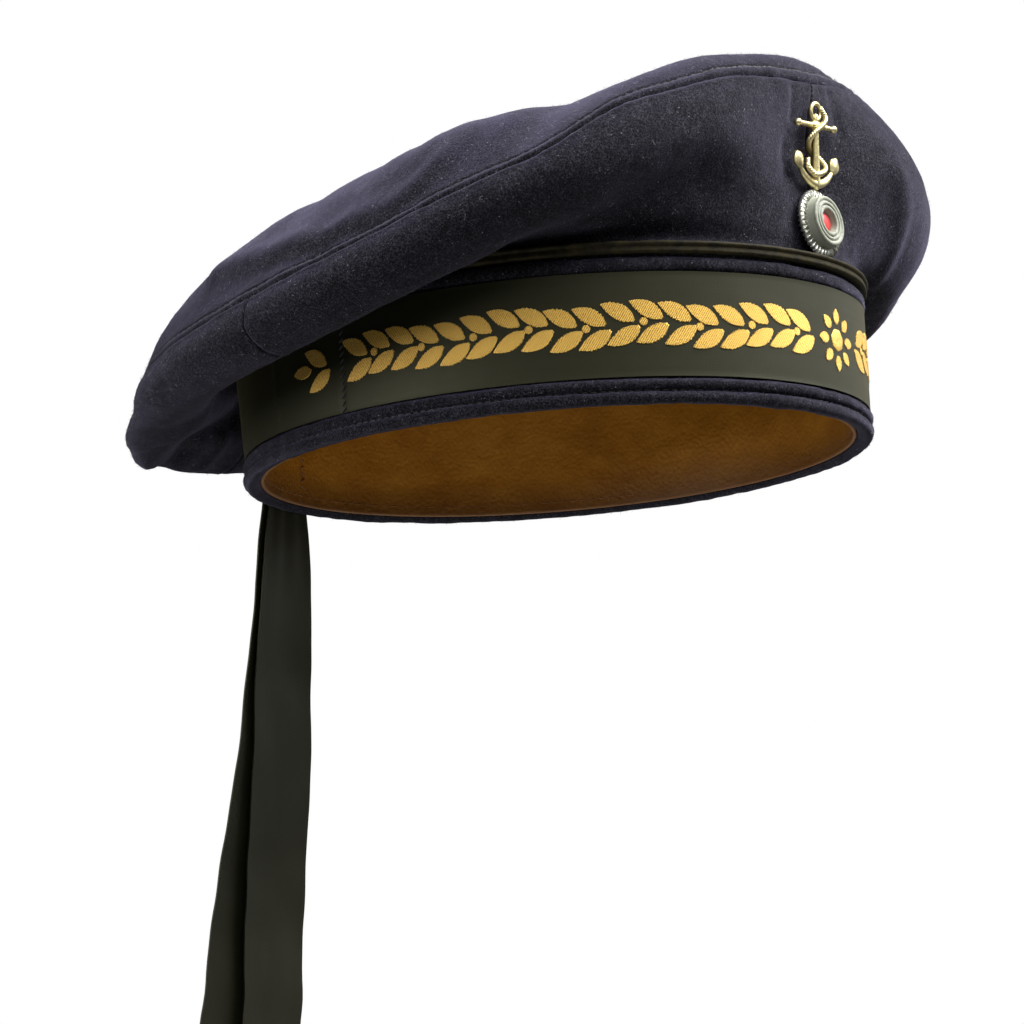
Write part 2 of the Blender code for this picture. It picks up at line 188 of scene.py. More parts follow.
# Length along the band's oval from the front, + to the wearer's left, against turn.
turn_table = np.linspace(-180, 180, 1441)
steps_round = np.linalg.norm(np.diff(oval_point(turn_table, RIBBON_FACE, 0.0), axis=0), axis=1)
length_table = np.concatenate([[0], np.cumsum(steps_round)])
length_table -= length_table[len(length_table) // 2]
RIBBON_LENGTH = length_table[-1] - length_table[0]


def arc_of_section(middle_out, middle_high, radius_out, radius_high, start, end, steps):
    """Part of an oval, as offsets and heights, for the outline of a rolled edge."""
    turns = np.radians(np.linspace(start, end, steps))
    return [(middle_out + radius_out * cos(a), middle_high + radius_high * sin(a)) for a in turns]


def line_of_section(start, end, steps):
    """Part of an outline that runs straight."""
    return [tuple(p) for p in np.linspace(start, end, steps)]


def no_shift(turn, high):
    """For a ring that keeps to the band's oval."""
    return 0.0


def ring_solid(outline, steps, relief, shift=no_shift):
    """A solid that runs round the head with one outline. relief(turn, out, high) swells its face,
    and shift(turn, high) moves it whole, out from the head."""
    outline = np.array(outline, float)
    turns = np.linspace(-180, 180, steps, endpoint=False)[:, None]
    along = np.roll(outline, -1, 0) - np.roll(outline, 1, 0)
    after = np.roll(outline, -1, 0)
    area = np.sum(outline[:, 0] * after[:, 1] - after[:, 0] * outline[:, 1])
    normal = unit(np.stack([along[:, 1], -along[:, 0]], 1)) * np.sign(area)
    push = relief(turns, outline[None, :, 0], outline[None, :, 1])
    points = oval_point(
        turns, outline[None, :, 0] + normal[None, :, 0] * push + shift(turns, outline[None, :, 1]),
        outline[None, :, 1] + normal[None, :, 1] * push)
    lengths = np.concatenate([[0], np.cumsum(np.linalg.norm(np.diff(outline, axis=0), axis=1))])
    uv = points_from(np.interp(turns, turn_table, length_table), lengths[None, :]) * MM
    return points, grid_faces(steps, len(outline), True, True), uv


def band_relief(turn, out, high):
    """Uneven rolls, pulled in a little at each stitch of the groove."""
    place = oval_point(turn, out, high)
    length = np.interp(turn, turn_table, length_table)
    near_groove = np.exp(-((high - WELT_GROOVE) / 1.5)**2) * (out > -2)
    pull = 0.16 * np.cos(2 * pi * length / BAND_STITCH) * near_groove
    return 0.34 * bumps(place, 15, 1) + 0.2 * bumps(place, 4, 2) + pull


# Melton wool: heavily napped, so it is matt and very dark, with a purplish bloom where it is seen
# edge on. The nap's fibres are about 0.03 mm, drawn here some 0.4 mm wide so that they show.
wool, wool_shader = new_finish("napped_melton_wool", {
    "Roughness": 0.95, "Specular IOR Level": 0.1, "Sheen Weight": 0.56, "Sheen Roughness": 0.34,
    "Sheen Tint": linear("#908ba7")})
place = add_node(wool_shader, "TexCoord", {}).outputs["Object"]
patches = add_node(wool_shader, "TexNoise", {
    "Vector": place, "Scale": 60, "Detail": 5, "Roughness": 0.65})
brushed = add_node(wool_shader, "TexNoise", {
    "Vector": place, "Scale": 260, "Detail": 3, "Roughness": 0.7, "Distortion": 0.8})
nap = add_node(wool_shader, "TexNoise", {
    "Vector": place, "Scale": 1700, "Detail": 3, "Roughness": 0.85})
tufts = add_node(wool_shader, "TexNoise", {
    "Vector": place, "Scale": 700, "Detail": 3, "Roughness": 0.8})
uneven = add_node(wool_shader, "MapRange", {
    "Value": patches.outputs["Fac"], "From Min": 0.36, "From Max": 0.64})
dye = add_node(wool_shader, "Mix", {
    0: uneven.outputs[0], 6: linear("#060608"), 7: linear("#100f14")}, data_type="RGBA")
# Painted light: what faces up is mixed toward a lighter purplish grey, in soft patches, standing in for
# light from above.
facing = add_node(wool_shader, "SeparateXYZ", {
    0: add_node(wool_shader, "TexCoord", {}).outputs["Normal"]})
upward = add_node(wool_shader, "MapRange", {
    "Value": facing.outputs[2], "From Min": 0.25, "From Max": 0.85, "To Max": 0.34})
fading = add_node(wool_shader, "MapRange", {
    "Value": patches.outputs["Fac"], "From Min": 0.38, "From Max": 0.62, "To Min": 0.45, "To Max": 1.0})
painted_top_light = add_node(wool_shader, "Math", {0: upward.outputs[0], 1: fading.outputs[0]}, operation="MULTIPLY")
# The painted top light's purplish grey, mixed into the dye.
dye_with_painted_top_light = add_node(wool_shader, "Mix", {
    0: painted_top_light.outputs[0], 6: dye.outputs[2], 7: linear("#302947")}, data_type="RGBA")
nap_light = add_node(wool_shader, "MapRange", {
    "Value": nap.outputs["Fac"], "From Min": 0.44, "From Max": 0.66, "To Max": 1.0})
nap_worn = add_node(wool_shader, "MapRange", {
    "Value": brushed.outputs["Fac"], "From Min": 0.34, "From Max": 0.66, "To Min": 0.35, "To Max": 1.0})
nap_mix = add_node(wool_shader, "Math", {
    0: nap_light.outputs[0], 1: nap_worn.outputs[0]}, operation="MULTIPLY")
fibres = add_node(wool_shader, "Mix", {
    0: nap_mix.outputs[0], 6: dye_with_painted_top_light.outputs[2], 7: linear("#45444e")}, data_type="RGBA")
# Pale specks of lint, a few to a square centimetre, about 0.3 mm wide.
specks = add_node(wool_shader, "TexVoronoi", {"Vector": place, "Scale": 430})
speck_size = add_node(wool_shader, "MapRange", {
    "Value": specks.outputs["Distance"], "From Min": 0.05, "From Max": 0.11,
    "To Min": 1.0, "To Max": 0.0})
speck_chance = add_node(wool_shader, "SeparateColor", {0: specks.outputs["Color"]})
speck_few = add_node(wool_shader, "MapRange", {
    "Value": speck_chance.outputs[0], "From Min": 0.5, "From Max": 1.0, "To Max": 0.6})
speck = add_node(wool_shader, "Math", {
    0: speck_size.outputs[0], 1: speck_few.outputs[0]}, operation="MULTIPLY")
add_lint = add_node(wool_shader, "Mix", {
    0: speck.outputs[0], 6: fibres.outputs[2], 7: linear("#b4b2bb")}, data_type="RGBA")
height = add_node(wool_shader, "Math", {
    0: nap.outputs["Fac"], 1: tufts.outputs["Fac"]}, operation="ADD")
rough_nap = add_node(wool_shader, "Bump", {
    "Height": height.outputs[0], "Strength": 0.7, "Distance": 0.0003})
set_inputs(wool_shader, {"Base Color": add_lint.outputs[2], "Normal": rough_nap.outputs[0]})

band_outline = (
    line_of_section((BAND_INNER, 1.3), (-1.9, 0.25), 3)
    + arc_of_section(*LOW_WELT, -95, 74, 13)
    + [(-0.15, WELT_GROOVE - 0.25), (-0.75, WELT_GROOVE), (-0.15, WELT_GROOVE + 0.25)]
    + arc_of_section(*HIGH_WELT, -74, 80, 12)
    + line_of_section((-0.3, RIBBON_LOW), (-0.3, RIBBON_HIGH + 0.2), 12)
    + arc_of_section(*UPPER_ROLL, -78, 78, 13)
    + line_of_section((-1.1, 45.1), (-1.3, BAND_TOP), 5)
    + line_of_section((-1.8, BAND_TOP + 0.2), (BAND_INNER, BAND_TOP), 3)
    + line_of_section((BAND_INNER, 46), (BAND_INNER, 4), 14))
dressed_piece(
    "band", [ring_solid(band_outline, 520, band_relief)], wool, ["head_band"], "navy_wool")


def stitches(middles, ahead, out, length, thick):
    """Short rounded stitches as one solid: the middle, direction and outward side of each."""
    ahead = unit(ahead)
    aside = unit(np.cross(out, ahead))
    up = np.cross(ahead, aside)
    around, lengthwise = 6, np.radians(np.linspace(-85, 85, 6))
    ring = 2 * pi * np.arange(around) / around
    bead = np.array([(sin(a), cos(a) * cos(b), cos(a) * sin(b)) for a in lengthwise for b in ring])
    points = (middles[:, None]
              + bead[None, :, :1] * ahead[:, None] * length / 2
              + bead[None, :, 1:2] * aside[:, None] * thick / 2
              + bead[None, :, 2:] * up[:, None] * thick / 2)
    sides = grid_faces(len(lengthwise), around, False, True)
    last = (len(lengthwise) - 1) * around
    ends = np.array([[0, 3, 2, 1], [0, 5, 4, 3], [last, last + 1, last + 2, last + 3],
                     [last, last + 3, last + 4, last + 5]])
    one = np.concatenate([sides, ends])
    faces = (one[None] + (np.arange(len(middles)) * len(bead))[:, None, None]).reshape(-1, 4)
    return points.reshape(-1, 3), faces, None


def seam_round(offset, high, spacing, facing, length, thick):
    """A row of stitches round the band, on a face that looks out (facing 1) or in (-1)."""
    count = int(RIBBON_LENGTH / spacing)
    turns = np.interp((np.arange(count) + 0.5) * spacing + length_table[0], length_table, turn_table)
    middles = oval_point(turns, offset, high)
    ahead = oval_point(turns + 0.5, offset, high) - oval_point(turns - 0.5, offset, high)
    return stitches(middles, ahead, oval_point(turns, offset + facing, high) - middles, length, thick)


def twisted_thread(name, constants):
    """A sewing thread's material: the constants given, and the fine relief of its twist."""
    made, shader = new_finish(name, constants)
    place = add_node(shader, "TexCoord", {}).outputs["Object"]
    twist = add_node(shader, "TexNoise", {"Vector": place, "Scale": 2600, "Detail": 2})
    ply = add_node(shader, "Bump", {"Height": twist.outputs["Fac"], "Strength": 0.5, "Distance": 0.0002})
    set_inputs(shader, {"Normal": ply.outputs[0]})
    return made


# Sewing thread: waxed cotton, twisted, near black with a faint gloss.
thread = twisted_thread("waxed_black_thread", {
    "Base Color": linear("#131318"), "Roughness": 0.55, "Sheen Weight": 0.2})
dressed_piece("band_stitches", [seam_round(0.0, WELT_GROOVE, BAND_STITCH, 1, 2.0, 0.5)], thread)


# ---- Sweatband ----------------------------------------------------------------------------------
# A strip of tan sheep leather inside the band, sewn on along its bottom edge and loose at the top.
# Its ends meet at the back. Wear has darkened it along the bottom.
SWEAT_OUT, SWEAT_THICK, SWEAT_HIGH = -3.7, 1.2, 36.0
SWEAT_SEAM, SWEAT_STITCH = 4.6, 3.4      # the bottom seam's height and its stitches' spacing
BACK_STITCH = 2.2                       # spacing of the stitches that join the two ends


def sweatband_shift(turn, high):
    """Soft ripples that grow toward the loose top edge, always to the inside."""
    loose = np.clip(high / SWEAT_HIGH, 0, 1)**1.5
    return -np.clip(0.5 + 1.2 * bumps(oval_point(turn, -4.0, 0.4 * high), 24, 4), 0, 1.4) * loose


def sweatband_relief(turn, out, high):
    """The grain's unevenness, and the slit at the back where the two ends meet."""
    inner_face = out < SWEAT_OUT - 0.6
    slit = -0.5 * np.exp(-((180 - np.abs(turn)) / 0.4)**2)
    return np.where(inner_face, 0.16 * bumps(oval_point(turn, -4.0, high), 5, 5) + slit, 0.0)


# Sheep leather, vegetable tanned and aniline finished: warm tan with a soft gloss, a fine pebbled
# grain of about 1 mm, and brown mottling.
leather, leather_shader = new_finish("tan_sheep_leather", {
    "Specular IOR Level": 0.45, "Coat Weight": 0.08, "Coat Roughness": 0.35})
place = add_node(leather_shader, "TexCoord", {}).outputs["Object"]
mottle = add_node(leather_shader, "TexNoise", {
    "Vector": place, "Scale": 55, "Detail": 5, "Roughness": 0.6})
hide = add_node(leather_shader, "Mix", {
    0: mottle.outputs["Fac"], 6: linear("#a65e10"), 7: linear("#eda430")}, data_type="RGBA")
low = add_node(leather_shader, "SeparateXYZ", {0: place})
sweat = add_node(leather_shader, "MapRange", {
    "Value": low.outputs[2], "From Min": 0.002, "From Max": 0.014, "To Min": 0.75, "To Max": 0.0})
stained = add_node(leather_shader, "Mix", {
    0: sweat.outputs[0], 6: hide.outputs[2], 7: linear("#4a2a0c")}, data_type="RGBA")
grain = add_node(leather_shader, "TexVoronoi", {"Vector": place, "Scale": 900}, feature="SMOOTH_F1")
wrinkles = add_node(leather_shader, "TexNoise", {
    "Vector": place, "Scale": 240, "Detail": 5, "Distortion": 1.0})
shine = add_node(leather_shader, "MapRange", {
    "Value": mottle.outputs["Fac"], "To Min": 0.42, "To Max": 0.62})
relief = add_node(leather_shader, "Math", {
    0: grain.outputs["Distance"], 1: wrinkles.outputs["Fac"]}, operation="ADD")
pebble = add_node(leather_shader, "Bump", {
    "Height": relief.outputs[0], "Strength": 0.45, "Distance": 0.0004})
set_inputs(leather_shader, {
    "Base Color": stained.outputs[2], "Roughness": shine.outputs[0], "Normal": pebble.outputs[0]})

sweat_in = SWEAT_OUT - SWEAT_THICK
sweat_outline = (
    line_of_section((SWEAT_OUT, 2.0), (SWEAT_OUT, SWEAT_HIGH - 0.5), 18)
    + arc_of_section(SWEAT_OUT - 0.6, SWEAT_HIGH - 0.5, 0.6, 0.5, 15, 165, 5)
    + line_of_section((sweat_in, SWEAT_HIGH - 0.8), (sweat_in, 2.4), 36)
    + arc_of_section(SWEAT_OUT - 0.6, 2.0, 0.6, 0.6, -165, -15, 5))
dressed_piece(
    "leather_sweatband", [ring_solid(sweat_outline, 400, sweatband_relief, sweatband_shift)], leather,
    ["sweatband"], "tan_leather")

# Cotton thread, unwaxed: matt, and a little redder than the leather.
tan_thread = twisted_thread("tan_cotton_thread", {
    "Base Color": linear("#8a5a2c"), "Roughness": 0.7, "Sheen Weight": 0.2})

stitch_seat = sweat_in + 0.05
back_highs = np.arange(7.5, 34, BACK_STITCH)
lean = np.where(np.arange(len(back_highs)) % 2, 1.0, -1.0)
dressed_piece("sweatband_stitches", [
    seam_round(stitch_seat, SWEAT_SEAM, SWEAT_STITCH, -1, 2.5, 0.45),
    stitches(
        oval_point(180.0, stitch_seat, back_highs), points_from(BACK_STITCH * lean, 0, BACK_STITCH / 2),
        np.tile([0, -1.0, 0], (len(lean), 1)), 3.0, 0.45)], tan_thread)


# ---- Tally ribbon -------------------------------------------------------------------------------
# A black silk rep ribbon, 32 mm wide, drawn tight round the band and tied at the back. A line of
# thread tacks it down on the right, and a crease where it was once folded runs beside it.
RIBBON_THICK = 0.6
TACK_LENGTH, CREASE_LENGTH = -170.7, -204.6     # along the ribbon from the front
LEAN_TURN, LEAN_WIDTH, LEAN_OUT = -150, 26, 2.0
WAVE_LENGTH = 0.314                     # of a wave texture at scale 1, in m
RIB_SPACING, PICK_SPACING = 0.00045, 0.0006     # as drawn, in m


def ribbon_lean(turn, high):
    """How far the ribbon stands off the band: its top eases out at the back on the right."""
    part = np.clip((high - RIBBON_LOW) / (RIBBON_HIGH - RIBBON_LOW), 0, 1)
    away = ((turn - LEAN_TURN + 180) % 360) - 180
    return LEAN_OUT * part * np.exp(-(away / LEAN_WIDTH)**2)


def ribbon_shift(turn, high):
    """The lean, the tack's dent, the fold's crease and a little slack, in mm out from the band."""
    length = np.interp(turn, turn_table, length_table)
    tack = -0.3 * np.exp(-((length - TACK_LENGTH) / 0.7)**2)
    crease = 0.35 * np.exp(-np.abs(length - CREASE_LENGTH) / 1.1)
    slack = 0.1 + 0.16 * bumps(oval_point(turn, 1.0, 0.6 * high), 30, 6)
    return ribbon_lean(turn, high) + tack + crease + slack


def ribbon_relief(turn, out, high):
    """A selvedge along both edges of the face, and the weave's unevenness."""
    edge = 0.1 * np.exp(-(np.minimum(high - RIBBON_LOW, RIBBON_HIGH - high) / 0.5)**2)
    return np.where(out > 0.6, edge + 0.04 * bumps(oval_point(turn, 1.0, high), 7, 7), 0.0)


# Silk rep ribbon: a dense ribbed weave with a low greenish grey sheen. The ribs across it are
# about 0.3 mm apart, drawn wider so that they show.
ribbon, ribbon_shader = new_finish("black_silk_rep", {
    "Specular IOR Level": 0.4, "Specular Tint": linear("#e4e3bd"), "Sheen Weight": 0.2,
    "Sheen Roughness": 0.35, "Sheen Tint": linear("#b0a878")})
weave_place = add_node(ribbon_shader, "TexCoord", {}).outputs["UV"]
ribs = add_node(ribbon_shader, "TexWave", {
    "Vector": weave_place, "Scale": WAVE_LENGTH / RIB_SPACING, "Distortion": 0.6, "Detail": 1,
    "Detail Scale": 0.3}, bands_direction="X")
picks = add_node(ribbon_shader, "TexWave", {
    "Vector": weave_place, "Scale": WAVE_LENGTH / PICK_SPACING, "Distortion": 0.4}, bands_direction="Y")
streak_place = add_node(ribbon_shader, "Mapping", {0: weave_place, "Scale": (18, 620, 1)})
streaks = add_node(ribbon_shader, "TexNoise", {
    "Vector": streak_place.outputs[0], "Scale": 1, "Detail": 3})
fading = add_node(ribbon_shader, "TexNoise", {"Vector": weave_place, "Scale": 42, "Detail": 3})
blend = add_node(ribbon_shader, "Mix", {
    0: 0.35, 2: streaks.outputs["Fac"], 3: fading.outputs["Fac"]})
silk = add_node(ribbon_shader, "Mix", {
    0: blend.outputs[0], 6: linear("#0e0f09"), 7: linear("#1f1f13")}, data_type="RGBA")
rib_shade = add_node(ribbon_shader, "MapRange", {
    "Value": ribs.outputs["Fac"], "To Min": 0.94, "To Max": 1.0})
woven = add_node(ribbon_shader, "Mix", {
    0: 1.0, 6: silk.outputs[2], 7: rib_shade.outputs[0]}, data_type="RGBA", blend_type="MULTIPLY")
gloss = add_node(ribbon_shader, "MapRange", {
    "Value": streaks.outputs["Fac"], "To Min": 0.48, "To Max": 0.6})
cross = add_node(ribbon_shader, "Math", {0: picks.outputs["Fac"], 1: 0.5, 2: ribs.outputs["Fac"]},
                 operation="MULTIPLY_ADD")
rep = add_node(ribbon_shader, "Bump", {
    "Height": cross.outputs[0], "Strength": 0.2, "Distance": 0.00006})
set_inputs(ribbon_shader, {
    "Base Color": woven.outputs[2], "Roughness": gloss.outputs[0], "Normal": rep.outputs[0]})

face_in = RIBBON_FACE - RIBBON_THICK
ribbon_outline = (
    line_of_section((RIBBON_FACE, RIBBON_LOW), (RIBBON_FACE, RIBBON_HIGH), 40)
    + line_of_section((face_in, RIBBON_HIGH), (face_in, RIBBON_LOW), 12))
tally = dressed_piece(
    "tally", [ring_solid(ribbon_outline, 600, ribbon_relief, ribbon_shift)], ribbon,
    ["tally_ribbon"], "black_ribbon")


def on_ribbon(length, high, lift):
    """Points on the ribbon's face, by length from the front, height and lift off it."""
    turn = np.interp(length, length_table, turn_table)
    return oval_point(turn, RIBBON_FACE + ribbon_shift(turn, high) + lift, high)


tack_highs = np.linspace(RIBBON_LOW + 0.8, RIBBON_HIGH - 0.8, 15)
tack_low = on_ribbon(TACK_LENGTH - 0.9, tack_highs - 0.7, 0.25)
tack_high = on_ribbon(TACK_LENGTH + 0.9, tack_highs + 0.7, 0.25)
tack_out = on_ribbon(TACK_LENGTH, tack_highs, 1.25) - on_ribbon(TACK_LENGTH, tack_highs, 0.25)
dressed_piece("tally_tack", [stitches(
    (tack_low + tack_high) / 2, tack_high - tack_low, tack_out, 2.5, 0.5)], thread)


# ---- Gold garland -------------------------------------------------------------------------------
# A laurel garland woven into the ribbon in gilt thread, running both ways from a rosette at the
# front. It is a flat figure in a slanting twill, and its edges step where each thread turns back.
GARLAND_MIDDLE = 24.0                   # height of the garland's stem
GARLAND_START, GARLAND_END = 12.5, 186.5
PETALS, PETAL_ROOT, PETAL_LENGTH, PETAL_HALF = 8, 4.6, 5.2, 1.7
ROSETTE_RADIUS = 3.4
LEAF_SPACING, LEAF_LENGTH, LEAF_HALF = 8.6, 11.5, 2.45
LEAF_SLANT, LEAF_BEND = 37, 16          # degrees
LEAF_STAGGER, LEAF_RISE = 1.6, 0.7      # the upper leaf's root is further on, and both are off the stem
BERRY_RADIUS, BERRY_OUT = 1.25, 7.6
TIP_LENGTH, TIP_HALF = 9.0, 2.0         # the single leaf that ends each side
PAIR_MIDDLE, TACK_CLEAR = 5, 5          # a pair is left out where its middle is this near the tack
THREAD_STEP = 0.42                      # between the steps along a leaf's edge
TWILL_SPACING = 0.0006                  # as drawn, in m


def two_sided(face, back, uv=None, joined=False):
    """A closed sheet from the grid of its face and the grid of its back."""
    rows, columns = face.shape[:2]
    total = rows * columns
    front = grid_faces(rows, columns, False, joined)
    rim = [np.arange(columns), (rows - 1) * columns + np.arange(columns)]
    used = slice(None) if joined else slice(0, -1)
    edges = [(line[used], np.roll(line, -1)[used]) for line in rim]
    if not joined:
        for column in (0, columns - 1):
            line = np.arange(rows) * columns + column
            edges.append((line[:-1], line[1:]))
    sides = []
    for k, (start, end) in enumerate(edges):
        quad = np.stack([start, end, end + total, start + total], 1)
        # Each border runs round the face the same way once every other one is turned.
        sides.append(quad[:, ::-1] if k in (0, 3) else quad)
    faces = np.concatenate([front, front[:, ::-1] + total, *sides])
    points = np.concatenate([face.reshape(-1, 3), back.reshape(-1, 3)])
    return points, faces, None if uv is None else np.concatenate([uv.reshape(-1, 2)] * 2)


def woven(x, z, joined=False):
    """A flat figure of gilt thread from its grid of lengths and heights on the ribbon."""
    rim = np.ones(x.shape)
    rim[-1], rim[0] = 0.0, (1.0 if joined else 0.0)
    if not joined:
        rim[:, 0] = rim[:, -1] = 0.0
    face = on_ribbon(x, z, 0.1 + 0.14 * rim)
    return two_sided(face, on_ribbon(x, z, -0.12), points_from(x, z) * MM, joined)


def leaf(root, high, slant, length, half, bend):
    """One leaf, from its root on the ribbon, at a slant in degrees that bends toward the tip."""
    steps = int(length / THREAD_STEP * 1.5)
    t, q = np.linspace(0, 1, steps)[:, None], np.array([-1, -0.96, -0.4, 0, 0.4, 0.96, 1])[None, :]
    step = np.floor(t * length / THREAD_STEP)
    ragged = 0.13 * np.sin(step * 2.4 + root) + 0.1 * np.sin(step * 4.1 + 2 * np.sign(q) + high)
    width = half * np.sin(pi * np.clip(t, 0.03, 0.98)**0.85)**0.8
    width = width + ragged * np.clip(6 * t * (1 - t), 0, 1) * (np.abs(q) > 0.5)
    angle = np.radians(slant + bend * t)
    along, rise = (np.cumsum(turned, 0) * length / steps for turned in (np.cos(angle), np.sin(angle)))
    return woven(root + along - np.sin(angle) * q * width, high + rise + np.cos(angle) * q * width)


def button(length, high, radius):
    """A small round dot."""
    rings, around = np.array([0.05, 0.5, 0.92, 1.0])[:, None], 2 * pi * np.arange(20)[None, :] / 20
    ragged = 1 + 0.05 * np.sin(around * 7) * (rings > 0.9)
    return woven(length + radius * rings * ragged * np.cos(around),
                 high + radius * rings * ragged * np.sin(around), joined=True)


def garland():
    """The rosette at the front, and pairs of leaves with berries running from it both ways."""
    parts = [leaf(PETAL_ROOT * cos(a), GARLAND_MIDDLE + PETAL_ROOT * sin(a), np.degrees(a),
                  PETAL_LENGTH, PETAL_HALF, 0) for a in 2 * pi * np.arange(PETALS) / PETALS]
    parts.append(button(0, GARLAND_MIDDLE, ROSETTE_RADIUS))
    pairs = int((GARLAND_END - GARLAND_START) / LEAF_SPACING)
    for way in (-1, 1):
        for k in range(pairs):
            root = GARLAND_START + k * LEAF_SPACING
            if abs(way * (root + PAIR_MIDDLE) - TACK_LENGTH) < TACK_CLEAR:
                continue
            sway = 0.9 * sin(k * 1.3)
            for side in (-1, 1):
                slant = side * LEAF_SLANT if way > 0 else 180 - side * LEAF_SLANT
                start = way * (root + (LEAF_STAGGER if side > 0 else 0))
                high = GARLAND_MIDDLE + sway + side * LEAF_RISE
                parts.append(leaf(start, high, slant, LEAF_LENGTH, LEAF_HALF, -way * side * LEAF_BEND))
            if k % 2 == 0:
                parts.append(button(way * (root + BERRY_OUT), GARLAND_MIDDLE + sway, BERRY_RADIUS))
        tip = GARLAND_START + pairs * LEAF_SPACING
        parts.append(leaf(way * tip, GARLAND_MIDDLE, 0 if way > 0 else 180, TIP_LENGTH, TIP_HALF, 0))
    return parts


# Gilt thread: gold-washed metal foil wound on a yellow silk core, so half metal, half silk. It is
# rough enough to glow rather than mirror. The twill's lines are 0.35 mm apart, drawn wider to show.
gilt_thread, gilt_shader = new_finish("gilt_thread", {
    "Metallic": 0.5, "Roughness": 0.42, "Sheen Weight": 0.12, "Sheen Tint": linear("#ffe9a8")})
thread_place = add_node(gilt_shader, "TexCoord", {}).outputs["UV"]
slanted = add_node(gilt_shader, "Mapping", {0: thread_place, "Rotation": (0, 0, radians(32))})
strand = add_node(gilt_shader, "TexWave", {
    "Vector": slanted.outputs[0], "Scale": WAVE_LENGTH / TWILL_SPACING, "Distortion": 1.6, "Detail": 2,
    "Detail Scale": 0.8}, bands_direction="X")
flecks = add_node(gilt_shader, "TexNoise", {
    "Vector": thread_place, "Scale": 1500, "Detail": 3, "Roughness": 0.7})
rubbed = add_node(gilt_shader, "Math", {0: strand.outputs["Fac"], 1: 0.55, 2: flecks.outputs["Fac"]},
                  operation="MULTIPLY_ADD")
tone = add_node(gilt_shader, "MapRange", {
    "Value": rubbed.outputs[0], "From Min": 0.42, "From Max": 0.86})
gold = add_node(gilt_shader, "Mix", {
    0: tone.outputs[0], 6: linear("#8f6216"), 7: linear("#f8ca62")}, data_type="RGBA")
wound = add_node(gilt_shader, "Bump", {
    "Height": rubbed.outputs[0], "Strength": 0.7, "Distance": 0.0002})
set_inputs(gilt_shader, {"Base Color": gold.outputs[2], "Normal": wound.outputs[0]})
dressed_piece("tally_garland", garland(), gilt_thread, slot="pale_gilt", sharp=35)


# ---- Crown piping -------------------------------------------------------------------------------
# A narrow strip of black waxed leather folded over a cord, sewn in where the crown meets the band.
# A bead runs along its top, and the flat below has gone olive and mottled with handling.
def piping_relief(turn, out, high):
    """Crimps across the strip where it bends round the head, over slower waves."""
    place = oval_point(turn, 2.0, high)
    crimps = 0.07 * bumps(points_from(np.interp(turn, turn_table, length_table), 3, 0.3 * high), 1.6, 8)
    return crimps + 0.14 * bumps(place, 6, 9) + 0.1 * bumps(place, 22, 3)


# Leather dyed black and waxed: nearly matt, with a grain of about 0.8 mm, and rubbed to olive in
# blotches of a few millimetres.
piping, piping_shader = new_finish("black_waxed_leather", {
    "Specular IOR Level": 0.12, "Sheen Weight": 0.05, "Sheen Tint": linear("#b0a880")})
place = add_node(piping_shader, "TexCoord", {}).outputs["Object"]
handled = add_node(piping_shader, "TexNoise", {
    "Vector": place, "Scale": 260, "Detail": 5, "Roughness": 0.65})
worn = add_node(piping_shader, "MapRange", {
    "Value": handled.outputs["Fac"], "From Min": 0.36, "From Max": 0.84})
waxed = add_node(piping_shader, "Mix", {
    0: worn.outputs[0], 6: linear("#15130b"), 7: linear("#3d3620")}, data_type="RGBA")
grain = add_node(piping_shader, "TexVoronoi", {"Vector": place, "Scale": 1300}, feature="SMOOTH_F1")
shine = add_node(piping_shader, "MapRange", {
    "Value": handled.outputs["Fac"], "To Min": 0.6, "To Max": 0.85})
pebble = add_node(piping_shader, "Bump", {
    "Height": grain.outputs["Distance"], "Strength": 0.4, "Distance": 0.0003})
set_inputs(piping_shader, {
    "Base Color": waxed.outputs[2], "Roughness": shine.outputs[0], "Normal": pebble.outputs[0]})

piping_outline = (
    line_of_section((-0.5, 45.9), (1.5, 45.8), 5)
    + arc_of_section(1.55, 46.45, 0.75, 0.6, -80, 20, 6)
    + line_of_section((2.2, 47.0), (2.0, 47.75), 4)
    + arc_of_section(1.85, 48.6, 0.95, 0.72, -50, 150, 11)
    + line_of_section((0.4, 49.2), (-0.5, 49.2), 3))
dressed_piece(
    "piping", [ring_solid(piping_outline, 640, piping_relief)], piping, ["crown_piping"], "black_piping")


# ---- Crown --------------------------------------------------------------------------------------
# Four side panels and a top disc of the same melton, joined in sewn seams with the edges turned in.
# The rim seam is also topstitched on the disc's side. The crown is soft and droops to the back.
CROWN_SECTIONS = (
    # angle, seam r, seam z, bulge r, bulge z, fold r, fold z, shoulder in, shoulder rise, dome
    (-180, 127, 30, 131, 17, 115, 26, 12, 20, 20),
    (-150, 129, 26, 133, 13, 110, 23, 15, 25, 17),
    (-120, 130, 31.5, 131, 20, 112, 19, 23.5, 31.5, 9),
    (-90, 123, 46.5, 127, 35, 110, 28, 28, 33, 2),
    (-60, 121, 69, 122.5, 57, 107, 48, 24, 22, 4),
    (-30, 107.5, 97, 111.5, 79, 99.5, 62, 14, 9.2, 5),
    (0, 99, 106, 96, 86, 96, 62, 12, 9, 5),
    (30, 102, 112, 120, 84, 106, 57, 12, 0, 5),
    (60, 110, 104, 127, 68, 110, 44, 12, 7, 6),
    (90, 118, 88, 128, 58, 111, 40, 12, 12, 6),
    (120, 123, 66, 130, 44, 110, 36, 12, 14, 7),
    (150, 126, 44, 130, 29, 112, 29, 12, 17, 14),
)
